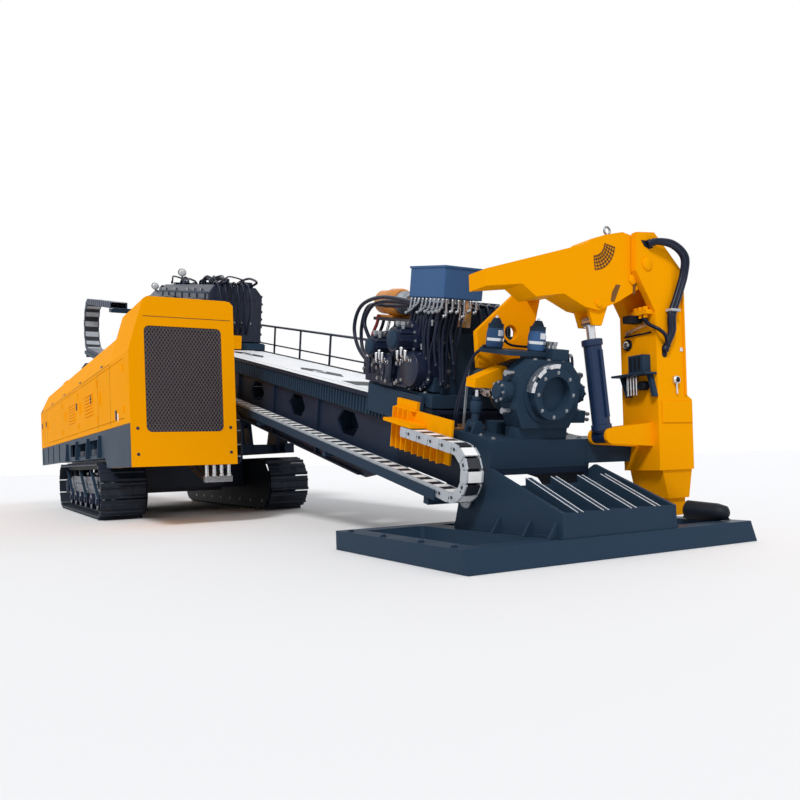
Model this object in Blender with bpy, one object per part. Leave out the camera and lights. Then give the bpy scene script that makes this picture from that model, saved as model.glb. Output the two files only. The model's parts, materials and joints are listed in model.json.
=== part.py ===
"""Horizontal directional drill on tracks, with its mast down on the anchor plate.

Metres, +X the way the drill points, +Y the machine's left, +Z up.
The origin is at floor level under the middle of the machine's box.
"""

import math

import bmesh
import bpy
from mathutils import Matrix, Vector

GAP = 0.0003  # between pieces that touch
RUN = 0.006  # between pieces that move past each other

# Tracks
TRACK_LENGTH = 5.60
TRACK_RADIUS = 0.45
TRACK_WIDTH = 0.66
TRACK_FRONT_X = 1.02
TRACK_THICKNESS = 0.12
SHOE_COUNT = 44
TRACKS = (("right", -1.72), ("left", 0.95))  # side, centre y
TRACK_FRAME_WIDTH = 0.40
ROLLER_RADIUS = 0.13
ROLLER_COUNT = 6
AXLE_RADIUS = 0.09
SPROCKET_TEETH = 12
TOOTH_DEPTH = 0.04
SPROCKET_WIDTH = 0.14
TRACK_INNER = TRACK_RADIUS - TRACK_THICKNESS
WHEEL_RADIUS = TRACK_INNER * math.cos(math.pi / 20) - GAP  # inside the loop's flats
SPROCKET_ROOT = WHEEL_RADIUS - TOOTH_DEPTH
WHEEL_REAR_X = TRACK_FRONT_X - TRACK_LENGTH + TRACK_RADIUS
WHEEL_FRONT_X = TRACK_FRONT_X - TRACK_RADIUS

# Deck frame above the tracks
FRAME_CLEAR = 0.06  # over the tracks
FRAME_DEPTH = 0.16
FRAME_LOW = 2 * TRACK_RADIUS + FRAME_CLEAR
FRAME_HIGH = FRAME_LOW + FRAME_DEPTH
FRAME_REAR = -8.80
FRAME_FRONT = 1.70
CAR_BODY_LOW = TRACK_RADIUS - 0.03
CAR_BODY_X = (-3.30, -0.30)

# Engine house on the machine's right
HOUSE_REAR = -9.00
HOUSE_FRONT = 3.12
HOUSE_STEP_X = -0.60
HOUSE_RIGHT = -1.99
HOUSE_LEFT = -0.62
HOUSE_REAR_LEFT = -1.12
HOUSE_FLOOR = 1.36
HOUSE_FRONT_FLOOR = 0.80
HOUSE_ROOF = 2.74
HOOD_RISE = 0.23  # the hood over the roof behind it
HOOD_ROOF = HOUSE_ROOF + HOOD_RISE
HOOD_REAR = 1.72
CREASE_DROP = 0.46
CREASE_Z = HOUSE_ROOF - CREASE_DROP
ROOF_INSET = 0.20
HOUSE_WALL = 0.05
GRILLE_Y = (HOUSE_RIGHT + ROOF_INSET, HOUSE_LEFT - 0.17)
GRILLE_Z = (HOUSE_FRONT_FLOOR + 0.44, HOOD_ROOF - 0.37)
DOOR_Z = (HOUSE_FLOOR + 0.08, CREASE_Z - 0.06)
DOOR_GAP = 0.008
DOOR_T = 0.04
DOORS = (  # number, rear edge x, front edge x
    (1, 0.62, 2.72),
    (2, -1.58, 0.52),
    (3, -3.78, -1.68),
    (4, -7.30, -4.10),
)
SKIRT_TOP = HOUSE_FLOOR - 0.005
SKIRT_LOW = 0.80
SKIRT_CLEAR = 0.045  # over the tracks
SKIRT_OVER_TRACK = 2 * TRACK_RADIUS + SKIRT_CLEAR
SLOTS = (  # rear x, front x, above the skirt's lower edge, below its top
    (-0.55, 0.62, 0.055, 0.105),
    (-1.95, -0.65, 0.065, 0.115),
    (-3.05, -2.05, 0.085, 0.095),
)
ENGINE_X = (-3.40, -0.90)
ENGINE_Y = (HOUSE_RIGHT + 0.28, HOUSE_REAR_LEFT - 0.10)
ENGINE_HEADROOM = 0.39
ENGINE_TOP = HOUSE_ROOF - ENGINE_HEADROOM

# Mast, in its own frame: u down along the deck, v to the left, w up from the deck
MAST_TILT = math.radians(12)
MAST_Y = 0.55
MAST_DECK_Z = 2.756
MAST_REAR = -8.40
SHOULDER_U = 7.34
NOSE_U = 8.25
WEB_OUTER = 0.55
WEB_T = 0.03
DECK_HALF = 0.60
DECK_T = 0.03
BEAM_DEPTH = 0.92
SHELF_W = -0.37
NOSE_DEPTH = 0.62
NOSE_LUG = -0.78
TAPER = (6.00, 6.90)
BAY_PITCH = 1.55
WEB_HOLE_W = -0.40
WEB_HOLE_LENGTH = 0.55
WEB_HOLE_HALF = 0.14
DRILL_W = 0.28

# Joints in the mast's plane, as (u, w), and on the deck frame, as (x, z)
TILT_PIN = (1.00, -BEAM_DEPTH - 0.16)
ANCHOR_PIN = (8.05, -0.66)
LIFT_EYE = (-4.00, -BEAM_DEPTH - 0.14)
LIFT_BASE = (-2.60, 1.26)
LIFT_SIDES = (("right", -0.38), ("left", 0.38))  # side, v
LIFT_BARREL = 1.45
LIFT_BORE = 0.55
LIFT_ROD_START = 1.00
LIFT_ROD_RADIUS = 0.05
TILT_PIN_RADIUS = 0.06
TILT_LUG_V = 0.30
ANCHOR_PIN_RADIUS = 0.05
LIFT_PIN_RADIUS = 0.045
PIN_SIDES = 24  # where a piece turns on its pin

# Walkway and railing on the mast's left
WALK_U = (-7.80, 4.60)
WALK_EDGE = 1.02
WALK_W = -0.60
RAIL_TOP = 0.45
RAIL_U = (-7.70, 4.10)
RAIL_POSTS = 9

# Anchor plate and the wedge on it
PLATE_FRONT = 9.00
PLATE_REAR = 6.91
PLATE_Y = (-0.94, 2.05)
PLATE_H = 0.17
PLATE_FLARE = 0.06
PLATE_RAIL = 0.20
WEDGE_OUTER = 0.595
WEDGE_T = 0.035
WEDGE_FRONT_Z = 0.357
WEDGE_RISE = math.tan(math.radians(22.5))
WEDGE_TOP_X = 8.05
RAMP_TOP_X = 8.32

# Energy chains, in the mast's frame
CHAIN_PLATE = 0.03
CHAIN_BAR = 0.012
CHAIN_BEND = 10
FRONT_CHAIN = {
    "v": (-0.84, -0.67), "start": 7.20, "turn": 8.34, "end": 1.40,
    "top": -0.156, "low": -0.683, "depth": 0.11,
}
REAR_CHAIN = {
    "v": (-1.50, -1.14), "start": -4.60, "turn": -8.62, "end": -5.60,
    "top": 0.70, "low": -0.70, "depth": 0.16,
}
TRAY_WALL = 0.08
TRAY_T = 0.012

# Vises, in the mast's frame
VISE_BORE = 0.155
VISE_RADIUS = 0.22
VISE_BED_U = (7.40, 8.25)
VISE_BED_W = (SHELF_W + GAP, -0.12)
FRONT_VISE_U = (8.02, 8.34)
REAR_VISE_U = (7.72, 7.96)
VISE_FOOT_W = -0.02
BREAKOUT_U = 7.84
BREAKOUT_V = -0.46
BREAKOUT_BASE_W = -0.055
BREAKOUT_TOP_W = 0.26
BREAKOUT_PIN = 0.02
BREAKOUT_EYE_HALF = 0.035
BREAKOUT_EAR = 0.025

# Carriages, in the mast's frame
CARRIAGE_U = (6.00, 7.30)
SPINDLE_FLANGE = 0.135
SPINDLE_SHAFT = 0.10
SPINDLE_SIDES = 32
BED_W = (0.02, DRILL_W - SPINDLE_FLANGE - 0.005)
GEARBOX_HALF = 0.42
GEARBOX_TOP = 0.72
HUMP_HALF = 0.34
HUMP_TOP = 1.00
POWER_BOX = ((6.76, 7.38), (-0.60, -0.17), (1.03, 1.32))
REAR_CARRIAGE_U = (-4.90, -0.60)
PACK_TOP = 1.15

# Crane on the nose: its boom swings in the plane across the machine
COLUMN_X = (7.94, 8.37)
COLUMN_Y = (1.60, 1.97)
BOOM_X = (8.06, 8.30)
BOOM_PIN = (1.52, 2.467)  # y, z
BOOM_PIN_RADIUS = 0.05
LUFF_EYE = (0.99, 1.955)
LUFF_BASE = (1.10, 0.94)
LUFF_PIN_RADIUS = 0.03
LUFF_X = 8.18
LUFF_BARREL = 0.86
LUFF_BORE = 0.40
LUFF_ROD_START = 0.45
LUFF_ROD_RADIUS = 0.04
JAW_X = (7.51, 7.57)
JAW_PIN = (0.84, 2.307)
JAW_PIN_RADIUS = 0.05
JAW_ARCH = 0.224

PAINTS = {  # colour, roughness, metallic
    "orange": ((0.89, 0.36, 0.01), 0.35, 0.0),
    "slate": ((0.035, 0.055, 0.085), 0.45, 0.0),
    "black": ((0.012, 0.014, 0.018), 0.5, 0.0),
    "blue": ((0.07, 0.14, 0.27), 0.4, 0.0),
    "track_steel": ((0.03, 0.034, 0.042), 0.55, 0.6),
    "chain_grey": ((0.35, 0.36, 0.38), 0.5, 0.0),
    "bright_steel": ((0.55, 0.56, 0.58), 0.25, 1.0),
}

PLANES = {  # how a flat outline's two numbers lie when it is extruded across an axis
    "x": Matrix(((0, 0, 1, 0), (1, 0, 0, 0), (0, 1, 0, 0), (0, 0, 0, 1))),  # (y, z)
    "y": Matrix(((1, 0, 0, 0), (0, 0, -1, 0), (0, 1, 0, 0), (0, 0, 0, 1))),  # (x, z)
    "z": Matrix.Identity(4),  # (x, y)
}


def start_clean():
    for old in list(bpy.data.objects):
        bpy.data.objects.remove(old, do_unlink=True)


start_clean()
MODEL = bpy.data.collections.new("horizontal_directional_drill")
bpy.context.scene.collection.children.link(MODEL)


def paint(name, colour, roughness, metallic):
    material = bpy.data.materials.new(name)
    material.use_nodes = True
    shader = material.node_tree.nodes["Principled BSDF"]
    shader.inputs["Base Color"].default_value = (*colour, 1.0)
    shader.inputs["Roughness"].default_value = roughness
    shader.inputs["Metallic"].default_value = metallic
    material.diffuse_color = (*colour, 1.0)
    return material


def empty_at(name, matrix, parent=None):
    empty = bpy.data.objects.new(name, None)
    MODEL.objects.link(empty)
    if parent:
        empty.parent = parent
        empty.matrix_parent_inverse = parent.matrix_world.inverted()
    empty.matrix_world = matrix
    bpy.context.view_layer.update()
    return empty


MACHINE = empty_at("machine", Matrix.Identity(4))
MAST = empty_at(
    "mast",
    Matrix.Translation((0, MAST_Y, MAST_DECK_Z)) @ Matrix.Rotation(MAST_TILT, 4, "Y"),
    MACHINE,
)


def mast_point(u, w, v=0.0):
    """A point of the mast's frame in world coordinates."""
    return MAST.matrix_world @ Vector((u, v, w))


def loose(mesh):
    """A working object, not yet a part of the model."""
    piece = bpy.data.objects.new("shape", mesh)
    bpy.context.scene.collection.objects.link(piece)
    return piece


def from_bmesh(shape):
    mesh = bpy.data.meshes.new("shape")
    bmesh.ops.recalc_face_normals(shape, faces=shape.faces)
    shape.to_mesh(mesh)
    shape.free()
    return loose(mesh)


def box(x, y, z):
    """A block between two x, two y and two z values."""
    shape = bmesh.new()
    bmesh.ops.create_cube(shape, size=1.0)
    size = Matrix.Diagonal((x[1] - x[0], y[1] - y[0], z[1] - z[0], 1.0))
    centre = Matrix.Translation(((x[0] + x[1]) / 2, (y[0] + y[1]) / 2, (z[0] + z[1]) / 2))
    bmesh.ops.transform(shape, matrix=centre @ size, verts=shape.verts)
    return from_bmesh(shape)


def cylinder(start, end, radius, sides=16, end_radius=None):
    """A round bar, or a cone where its two radii differ."""
    start, end = Vector(start), Vector(end)
    along = end - start
    shape = bmesh.new()
    bmesh.ops.create_cone(
        shape, cap_ends=True, segments=sides, depth=along.length,
        radius1=radius, radius2=radius if end_radius is None else end_radius,
    )
    turn = along.to_track_quat("Z", "Y").to_matrix().to_4x4()
    place = Matrix.Translation((start + end) / 2) @ turn
    bmesh.ops.transform(shape, matrix=place, verts=shape.verts)
    return from_bmesh(shape)


def evaluated_mesh(piece):
    bpy.context.view_layer.update()
    depsgraph = bpy.context.evaluated_depsgraph_get()
    return bpy.data.meshes.new_from_object(piece.evaluated_get(depsgraph))


def mesh_of(curve_object):
    """The evaluated curve as a closed mesh object, its caps welded to its sides."""
    mesh = evaluated_mesh(curve_object)
    shape = bmesh.new()
    shape.from_mesh(mesh)
    bmesh.ops.remove_doubles(shape, verts=shape.verts, dist=0.00005)
    bmesh.ops.transform(shape, matrix=curve_object.matrix_world, verts=shape.verts)
    bpy.data.objects.remove(curve_object, do_unlink=True)
    return from_bmesh(shape)


def plate(axis, span, outline, holes=()):
    """A flat outline with holes, extruded across a span of one axis."""
    curve = bpy.data.curves.new("outline", "CURVE")
    curve.dimensions = "2D"
    curve.fill_mode = "BOTH"
    low, high = sorted(span)
    curve.extrude = (high - low) / 2
    for points in (outline, *holes):
        spline = curve.splines.new("POLY")
        spline.points.add(len(points) - 1)
        for point, (a, b) in zip(spline.points, points):
            point.co = (a, b, 0.0, 1.0)
        spline.use_cyclic_u = True
    piece = loose(curve)
    shift = Vector((0, 0, 0))
    shift["xyz".index(axis)] = (low + high) / 2
    piece.matrix_world = Matrix.Translation(shift) @ PLANES[axis]
    return mesh_of(piece)


def tube(points, radius, resolution=2):
    """A round tube along straight runs between points."""
    curve = bpy.data.curves.new("tube", "CURVE")
    curve.dimensions = "3D"
    curve.bevel_depth = radius
    curve.bevel_resolution = resolution
    curve.use_fill_caps = True
    spline = curve.splines.new("POLY")
    spline.points.add(len(points) - 1)
    for point, place in zip(spline.points, points):
        point.co = (*place, 1.0)
    return mesh_of(loose(curve))


def arc(centre, radius, first, last, steps):
    """Points along an arc between two angles in degrees, both ends included."""
    angles = [math.radians(first + (last - first) * i / steps) for i in range(steps + 1)]
    return [(centre[0] + radius * math.cos(a), centre[1] + radius * math.sin(a)) for a in angles]


def circle(centre, radius, count=16):
    return arc(centre, radius, 0, 360, count)[:-1]


def clear(radius, sides=16):
    """The radius of a many-sided bore that clears a round pin of this radius."""
    return (radius + GAP) / math.cos(math.pi / sides)


def barrel(foot, along, span, radius, rod_radius, bore_start):
    """A cylinder's barrel, bored from its open top for the rod that slides in it."""
    solid = cylinder(foot + along * span[0], foot + along * span[1], radius, 20)
    bore = cylinder(foot + along * bore_start, foot + along * (span[1] + 0.1), rod_radius + GAP, 16)
    return cut(solid, [bore])


def rounded(low, high, radius, steps=3):
    """A rectangle's outline with round corners."""
    corners = (
        ((high[0] - radius, high[1] - radius), 0),
        ((low[0] + radius, high[1] - radius), 90),
        ((low[0] + radius, low[1] + radius), 180),
        ((high[0] - radius, low[1] + radius), 270),
    )
    return [point for centre, first in corners for point in arc(centre, radius, first, first + 90, steps)]


def combined(base, others, operation):
    """The base piece joined with, or cut by, the other pieces."""
    for other in others:
        step = base.modifiers.new("step", "BOOLEAN")
        step.operation = operation
        step.solver = "EXACT"
        step.object = other
    mesh = evaluated_mesh(base)
    for old in (base, *others):
        bpy.data.objects.remove(old, do_unlink=True)
    return loose(mesh)


def joined(pieces):
    pieces = list(pieces)
    return pieces[0] if len(pieces) == 1 else combined(pieces[0], pieces[1:], "UNION")


def cut(base, cutters):
    return combined(base, list(cutters), "DIFFERENCE")


def node(name, pieces, finish, frame=MACHINE, pivot=(0.0, 0.0, 0.0), parent=None):
    """One finished piece, built in a frame's coordinates, with its origin at its pivot."""
    solid = joined(pieces)
    mesh = solid.data.copy()
    bpy.data.objects.remove(solid, do_unlink=True)
    mesh.transform(Matrix.Translation(-Vector(pivot)))
    mesh.name = name
    mesh.materials.clear()
    mesh.materials.append(paint(name, *PAINTS[finish]))
    mesh.shade_smooth()
    mesh.set_sharp_from_angle(angle=math.radians(32))
    piece = bpy.data.objects.new(name, mesh)
    MODEL.objects.link(piece)
    holder = parent or frame
    piece.parent = holder
    piece.matrix_parent_inverse = holder.matrix_world.inverted()
    piece.matrix_world = frame.matrix_world @ Matrix.Translation(pivot)
    return piece


def both(v0, v1):
    """The same span of v on the right and on the left."""
    return [tuple(sorted((side * v0, side * v1))) for side in (-1, 1)]


# Undercarriage


def track_outline():
    """The shoes' outline round both wheels: plate, grouser and the gap behind, shoe by shoe."""
    valley = TRACK_RADIUS - 0.05
    straight = WHEEL_FRONT_X - WHEEL_REAR_X
    bend = math.pi * valley
    pitch = 2 * (straight + bend) / SHOE_COUNT
    shoe = ((0.04, 0.015), (0.80, 0.015), (0.84, 0.05), (0.96, 0.05))
    points = []
    for distance, height in [((i + part) * pitch, h) for i in range(SHOE_COUNT) for part, h in shoe]:
        radius = valley + height
        if distance < straight:
            points.append((WHEEL_REAR_X + distance, TRACK_RADIUS - radius))
        elif distance < straight + bend:
            angle = (distance - straight) / valley - math.pi / 2
            points.append((WHEEL_FRONT_X + radius * math.cos(angle), TRACK_RADIUS + radius * math.sin(angle)))
        elif distance < 2 * straight + bend:
            points.append((WHEEL_FRONT_X - (distance - straight - bend), TRACK_RADIUS + radius))
        else:
            angle = (distance - 2 * straight - bend) / valley + math.pi / 2
            points.append((WHEEL_REAR_X + radius * math.cos(angle), TRACK_RADIUS + radius * math.sin(angle)))
    return points


def track(side, y):
    inner = arc((WHEEL_FRONT_X, TRACK_RADIUS), TRACK_INNER, -90, 90, 10)
    inner += arc((WHEEL_REAR_X, TRACK_RADIUS), TRACK_INNER, 90, 270, 10)
    span = (y - TRACK_WIDTH / 2, y + TRACK_WIDTH / 2)
    node(f"track_{side}", [plate("y", span, track_outline(), (inner,))], "track_steel")


def track_frame(side, y):
    """A side frame with its rollers, its front idler and the cheeks round the sprocket."""
    half = TRACK_FRAME_WIDTH / 2
    rear, front, axle_z = WHEEL_REAR_X, WHEEL_FRONT_X, TRACK_RADIUS
    low = TRACK_THICKNESS + ROLLER_RADIUS
    body = (
        (rear + 0.40, low - 0.02), (front - 0.10, low - 0.02), (front - 0.10, axle_z + 0.10),
        (front - 0.60, axle_z + 0.21), (rear + 0.65, axle_z + 0.21), (rear + 0.40, axle_z + 0.10),
    )
    pieces = [plate("y", (y - half, y + half), body)]
    first, last = rear + 0.75, front - 0.60
    roller_z = TRACK_THICKNESS + GAP + ROLLER_RADIUS
    for i in range(ROLLER_COUNT):
        x = first + (last - first) * i / (ROLLER_COUNT - 1)
        pieces.append(cylinder((x, y - 0.24, roller_z), (x, y + 0.24, roller_z), ROLLER_RADIUS, 10))
    pieces.append(cylinder((front, y - 0.12, axle_z), (front, y + 0.12, axle_z), WHEEL_RADIUS, 24))
    pieces.append(cylinder((front, y - 0.18, axle_z), (front, y + 0.18, axle_z), 0.12, 12))
    cheek = (
        (rear - 0.14, axle_z - 0.09), (rear + 0.6, axle_z - 0.17), (rear + 0.6, axle_z + 0.17),
        (rear - 0.14, axle_z + 0.11),
    )
    for inner, outer in ((SPROCKET_WIDTH / 2 + RUN, half - 0.004), (-SPROCKET_WIDTH / 2 - RUN, 0.004 - half)):
        pieces.append(plate("y", (y + inner, y + outer), cheek))
    reach = half - 0.01
    pieces.append(cylinder((rear, y - reach, axle_z), (rear, y + reach, axle_z), AXLE_RADIUS, 20))
    node(f"track_frame_{side}", pieces, "black")


def drive_sprocket(side, y):
    """The toothed wheel at the rear of the loop, on its axle."""
    tip = WHEEL_RADIUS
    tooth = ((0.0, SPROCKET_ROOT), (0.3, tip), (0.5, tip), (0.8, SPROCKET_ROOT))
    outline = []
    for i in range(SPROCKET_TEETH):
        for part, radius in tooth:
            angle = math.tau * (i + part) / SPROCKET_TEETH
            outline.append(
                (WHEEL_REAR_X + radius * math.cos(angle), TRACK_RADIUS + radius * math.sin(angle))
            )
    bore = circle((WHEEL_REAR_X, TRACK_RADIUS), AXLE_RADIUS + GAP, 20)
    span = (y - SPROCKET_WIDTH / 2, y + SPROCKET_WIDTH / 2)
    node(f"drive_sprocket_{side}", [plate("y", span, outline, (bore,))], "track_steel")


def undercarriage():
    """The car body between the tracks, with arms that meet both side frames."""
    (_, right_y), (_, left_y) = TRACKS
    reach = (right_y + TRACK_FRAME_WIDTH / 2 + GAP, left_y - TRACK_FRAME_WIDTH / 2 - GAP)
    body = (right_y + TRACK_WIDTH / 2 + 0.05, left_y - TRACK_WIDTH / 2 - 0.05)
    pieces = [box(CAR_BODY_X, body, (CAR_BODY_LOW, FRAME_LOW - GAP))]
    for x in (CAR_BODY_X[0] + 0.25, CAR_BODY_X[1] - 0.65):
        pieces.append(box((x, x + 0.4), reach, (CAR_BODY_LOW - 0.02, TRACK_RADIUS + 0.17)))
    keel = (CAR_BODY_X[0] + 0.4, CAR_BODY_X[1] - 0.4)
    pieces.append(box(keel, (body[0] + 0.3, body[1] - 0.3), (CAR_BODY_LOW - 0.08, CAR_BODY_LOW + 0.05)))
    node("undercarriage", pieces, "black")


def ear(foot, top, pin, radius, flip=1):
    """A lug's outline: straight sides up from a foot to a round end about its pin."""
    (a, b), base = foot, top
    return [(a, base), (b, base)] + arc(pin, radius, 0, 180 * flip, 6)


def main_frame():
    """The deck frame over the tracks, with the mast's pivots and the lift cylinders' feet."""
    low, high = FRAME_LOW, FRAME_HIGH
    inset = (low + 0.01, high - 0.01)
    pieces = [
        box((FRAME_REAR, FRAME_FRONT), (-1.90, -1.74), (low, high)),
        box((FRAME_REAR, FRAME_FRONT), (-1.30, -1.14), (low, high)),
        box((-3.40, 1.10), (0.10, 0.26), (low, high)),
        box((-3.40, 1.10), (0.84, 1.00), (low, high)),
    ]
    for x in (FRAME_REAR + 0.2, -6.60, -4.60, FRAME_FRONT - 0.2):
        pieces.append(box((x, x + 0.14), (-1.85, -1.20), inset))
    for x in (-3.30, -2.70, -0.50, 0.60):
        pieces.append(box((x, x + 0.22), (-1.85, 0.95), inset))
    pin = mast_point(*TILT_PIN)
    reach = 0.04 + RUN
    for v in (-TILT_LUG_V, TILT_LUG_V):
        outline = ear((pin.x - 0.35, pin.x + 0.24), low + 0.02, (pin.x, pin.z), 0.12)
        for inner, outer in ((reach, reach + 0.05), (-reach, -reach - 0.05)):
            pieces.append(plate("y", (MAST_Y + v + inner, MAST_Y + v + outer), outline))
        ends = [(pin.x, MAST_Y + v + side * (reach + 0.03), pin.z) for side in (-1, 1)]
        pieces.append(cylinder(*ends, TILT_PIN_RADIUS, 16))
    x, z = LIFT_BASE
    reach = 0.06 + RUN
    for _, v in LIFT_SIDES:
        outline = ear((x - 0.2, x + 0.2), low + 0.02, (x, z), 0.09)
        for inner, outer in ((reach, reach + 0.04), (-reach, -reach - 0.04)):
            pieces.append(plate("y", (MAST_Y + v + inner, MAST_Y + v + outer), outline))
        ends = [(x, MAST_Y + v + side * (reach + 0.02), z) for side in (-1, 1)]
        pieces.append(cylinder(*ends, LIFT_PIN_RADIUS, PIN_SIDES))
    node("main_frame", pieces, "slate")


# Engine house


def house_section(left, low, roof, wall=0.0):
    """A section across the house, as (y, z), drawn in by a wall; the roof leans in at the right."""
    right = HOUSE_RIGHT + wall
    left -= wall
    roof -= wall
    return [
        (right, low + wall), (left, low + wall), (left, roof - 0.05), (left - 0.05, roof),
        (right + ROOF_INSET + 0.04, roof), (right + ROOF_INSET, roof - 0.03), (right, CREASE_Z),
    ]


def house_shell():
    """The hollow house: rear bays, a taller hood at the front, door and grille openings."""
    wall = HOUSE_WALL
    bays = (  # rear x, front x, left y, floor z, roof z
        (HOUSE_REAR, HOUSE_STEP_X, HOUSE_REAR_LEFT, HOUSE_FLOOR, HOUSE_ROOF),
        (HOUSE_STEP_X - wall, HOOD_REAR + wall, HOUSE_LEFT, HOUSE_FLOOR, HOUSE_ROOF - 0.001),
        (HOOD_REAR, HOUSE_FRONT, HOUSE_LEFT + 0.001, HOUSE_FRONT_FLOOR, HOOD_ROOF),
    )
    solid = joined(
        plate("x", (rear, front), house_section(left, floor, roof))
        for rear, front, left, floor, roof in bays
    )
    insides = (
        (HOUSE_REAR + wall, HOUSE_STEP_X + wall, HOUSE_REAR_LEFT, HOUSE_FLOOR, HOUSE_ROOF),
        (HOUSE_STEP_X, HOOD_REAR + wall + 0.05, HOUSE_LEFT - 0.002, HOUSE_FLOOR, HOUSE_ROOF - 0.001),
        (HOOD_REAR + wall, HOUSE_FRONT - wall, HOUSE_LEFT + 0.001, HOUSE_FRONT_FLOOR, HOOD_ROOF),
    )
    cutters = [
        plate("x", (rear, front), house_section(left, floor, roof, wall))
        for rear, front, left, floor, roof in insides
    ]
    cutters.append(box((HOUSE_FRONT - 0.2, HOUSE_FRONT + 0.1), GRILLE_Y, GRILLE_Z))
    for _, rear, front in DOORS:
        cutters.append(box((rear, front), (HOUSE_RIGHT - 0.1, HOUSE_RIGHT + 0.2), DOOR_Z))
    node("house_shell", [cut(solid, cutters)], "orange")


def front_grille():
    """A frame and its mesh panel, set in the house's front opening."""
    (y0, y1), (z0, z1) = GRILLE_Y, GRILLE_Z
    y0, y1, z0, z1 = y0 + GAP, y1 - GAP, z0 + GAP, z1 - GAP
    x = (HOUSE_FRONT - 0.045, HOUSE_FRONT - 0.015)
    opening = rounded((y0 + 0.04, z0 + 0.04), (y1 - 0.04, z1 - 0.04), 0.08)
    pieces = [plate("x", x, [(y0, z0), (y1, z0), (y1, z1), (y0, z1)], (opening,))]
    pieces.append(box((x[0] + 0.004, x[1] - 0.016), (y0 + 0.02, y1 - 0.02), (z0 + 0.02, z1 - 0.02)))
    node("front_grille", pieces, "black")


def side_doors():
    """Doors in the right flank, each on a hinge at its front edge."""
    for number, rear, front in DOORS:
        z = (DOOR_Z[0] + DOOR_GAP, DOOR_Z[1] - DOOR_GAP)
        middle = sum(DOOR_Z) / 2
        panel = box((rear + DOOR_GAP, front - GAP), (HOUSE_RIGHT, HOUSE_RIGHT + DOOR_T), z)
        handle_y = (HOUSE_RIGHT - 0.02, HOUSE_RIGHT + 0.01)
        handle = box((rear + 0.12, rear + 0.18), handle_y, (middle - 0.05, middle + 0.11))
        hinge = (front - GAP, HOUSE_RIGHT, middle)
        node(f"side_door_{number}", [panel, handle], "orange", pivot=hinge)


def side_skirt():
    """The dark skirt under the right flank, slotted over the track, and the floor behind it."""
    y = (HOUSE_RIGHT + 0.005, HOUSE_RIGHT + 0.045)
    front = HOOD_REAR - RUN
    outline = [
        (HOUSE_REAR, SKIRT_LOW + 0.12), (TRACK_FRONT_X - TRACK_LENGTH - 0.2, SKIRT_OVER_TRACK),
        (TRACK_FRONT_X + 0.05, SKIRT_OVER_TRACK), (TRACK_FRONT_X + 0.2, SKIRT_LOW),
        (front, SKIRT_LOW), (front, SKIRT_TOP), (HOUSE_REAR, SKIRT_TOP),
    ]
    slots = []
    for rear, ahead, above, below in SLOTS:
        low, high = SKIRT_OVER_TRACK + above, SKIRT_TOP - below
        slots.append(rounded((rear, low), (ahead, high), min(0.04, (high - low) / 3)))
    pieces = [plate("y", y, outline, slots)]
    floor = (SKIRT_TOP - 0.03, HOUSE_FLOOR - GAP)
    pieces.append(box((HOUSE_REAR + 0.001, front - 0.001), (y[0] + 0.01, HOUSE_REAR_LEFT), floor))
    for x in (-8.5, -6.5, -4.5, -2.5, -0.5, 1.3):
        pieces.append(box((x, x + 0.08), (y[1] + 0.005, -1.2), (FRAME_HIGH + GAP, floor[1] - 0.01)))
    node("side_skirt", pieces, "slate")


def engine_block():
    low = HOUSE_FLOOR + HOUSE_WALL + GAP
    node("engine_block", [box(ENGINE_X, ENGINE_Y, (low, ENGINE_TOP))], "black")


def exhaust_cap():
    x, y, z = -3.6, -1.5, HOUSE_ROOF + GAP
    pieces = [cylinder((x, y, z), (x, y, z + 0.12), 0.12)]
    pieces.append(cylinder((x, y, z + 0.1), (x, y, z + 0.2), 0.17, 16, 0.1))
    node("exhaust_cap", pieces, "slate")


# Mast


def web_outline():
    """The mast beam's side, as (u, w), from the rear round to the nose and its pin lug."""
    return [
        (MAST_REAR, -DECK_T / 2), (SHOULDER_U, -DECK_T / 2), (SHOULDER_U, SHELF_W),
        (NOSE_U, SHELF_W), (NOSE_U, NOSE_LUG), (NOSE_U - 0.40, NOSE_LUG),
        (NOSE_U - 0.65, -NOSE_DEPTH), (TAPER[1], -NOSE_DEPTH), (TAPER[0], -BEAM_DEPTH),
        (MAST_REAR + 0.8, -BEAM_DEPTH), (MAST_REAR, -0.6),
    ]


def bays(first, last):
    """Where each bay of the beam starts."""
    count = int((last - first) / BAY_PITCH)
    return [first + BAY_PITCH * i for i in range(count + 1)]


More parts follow.
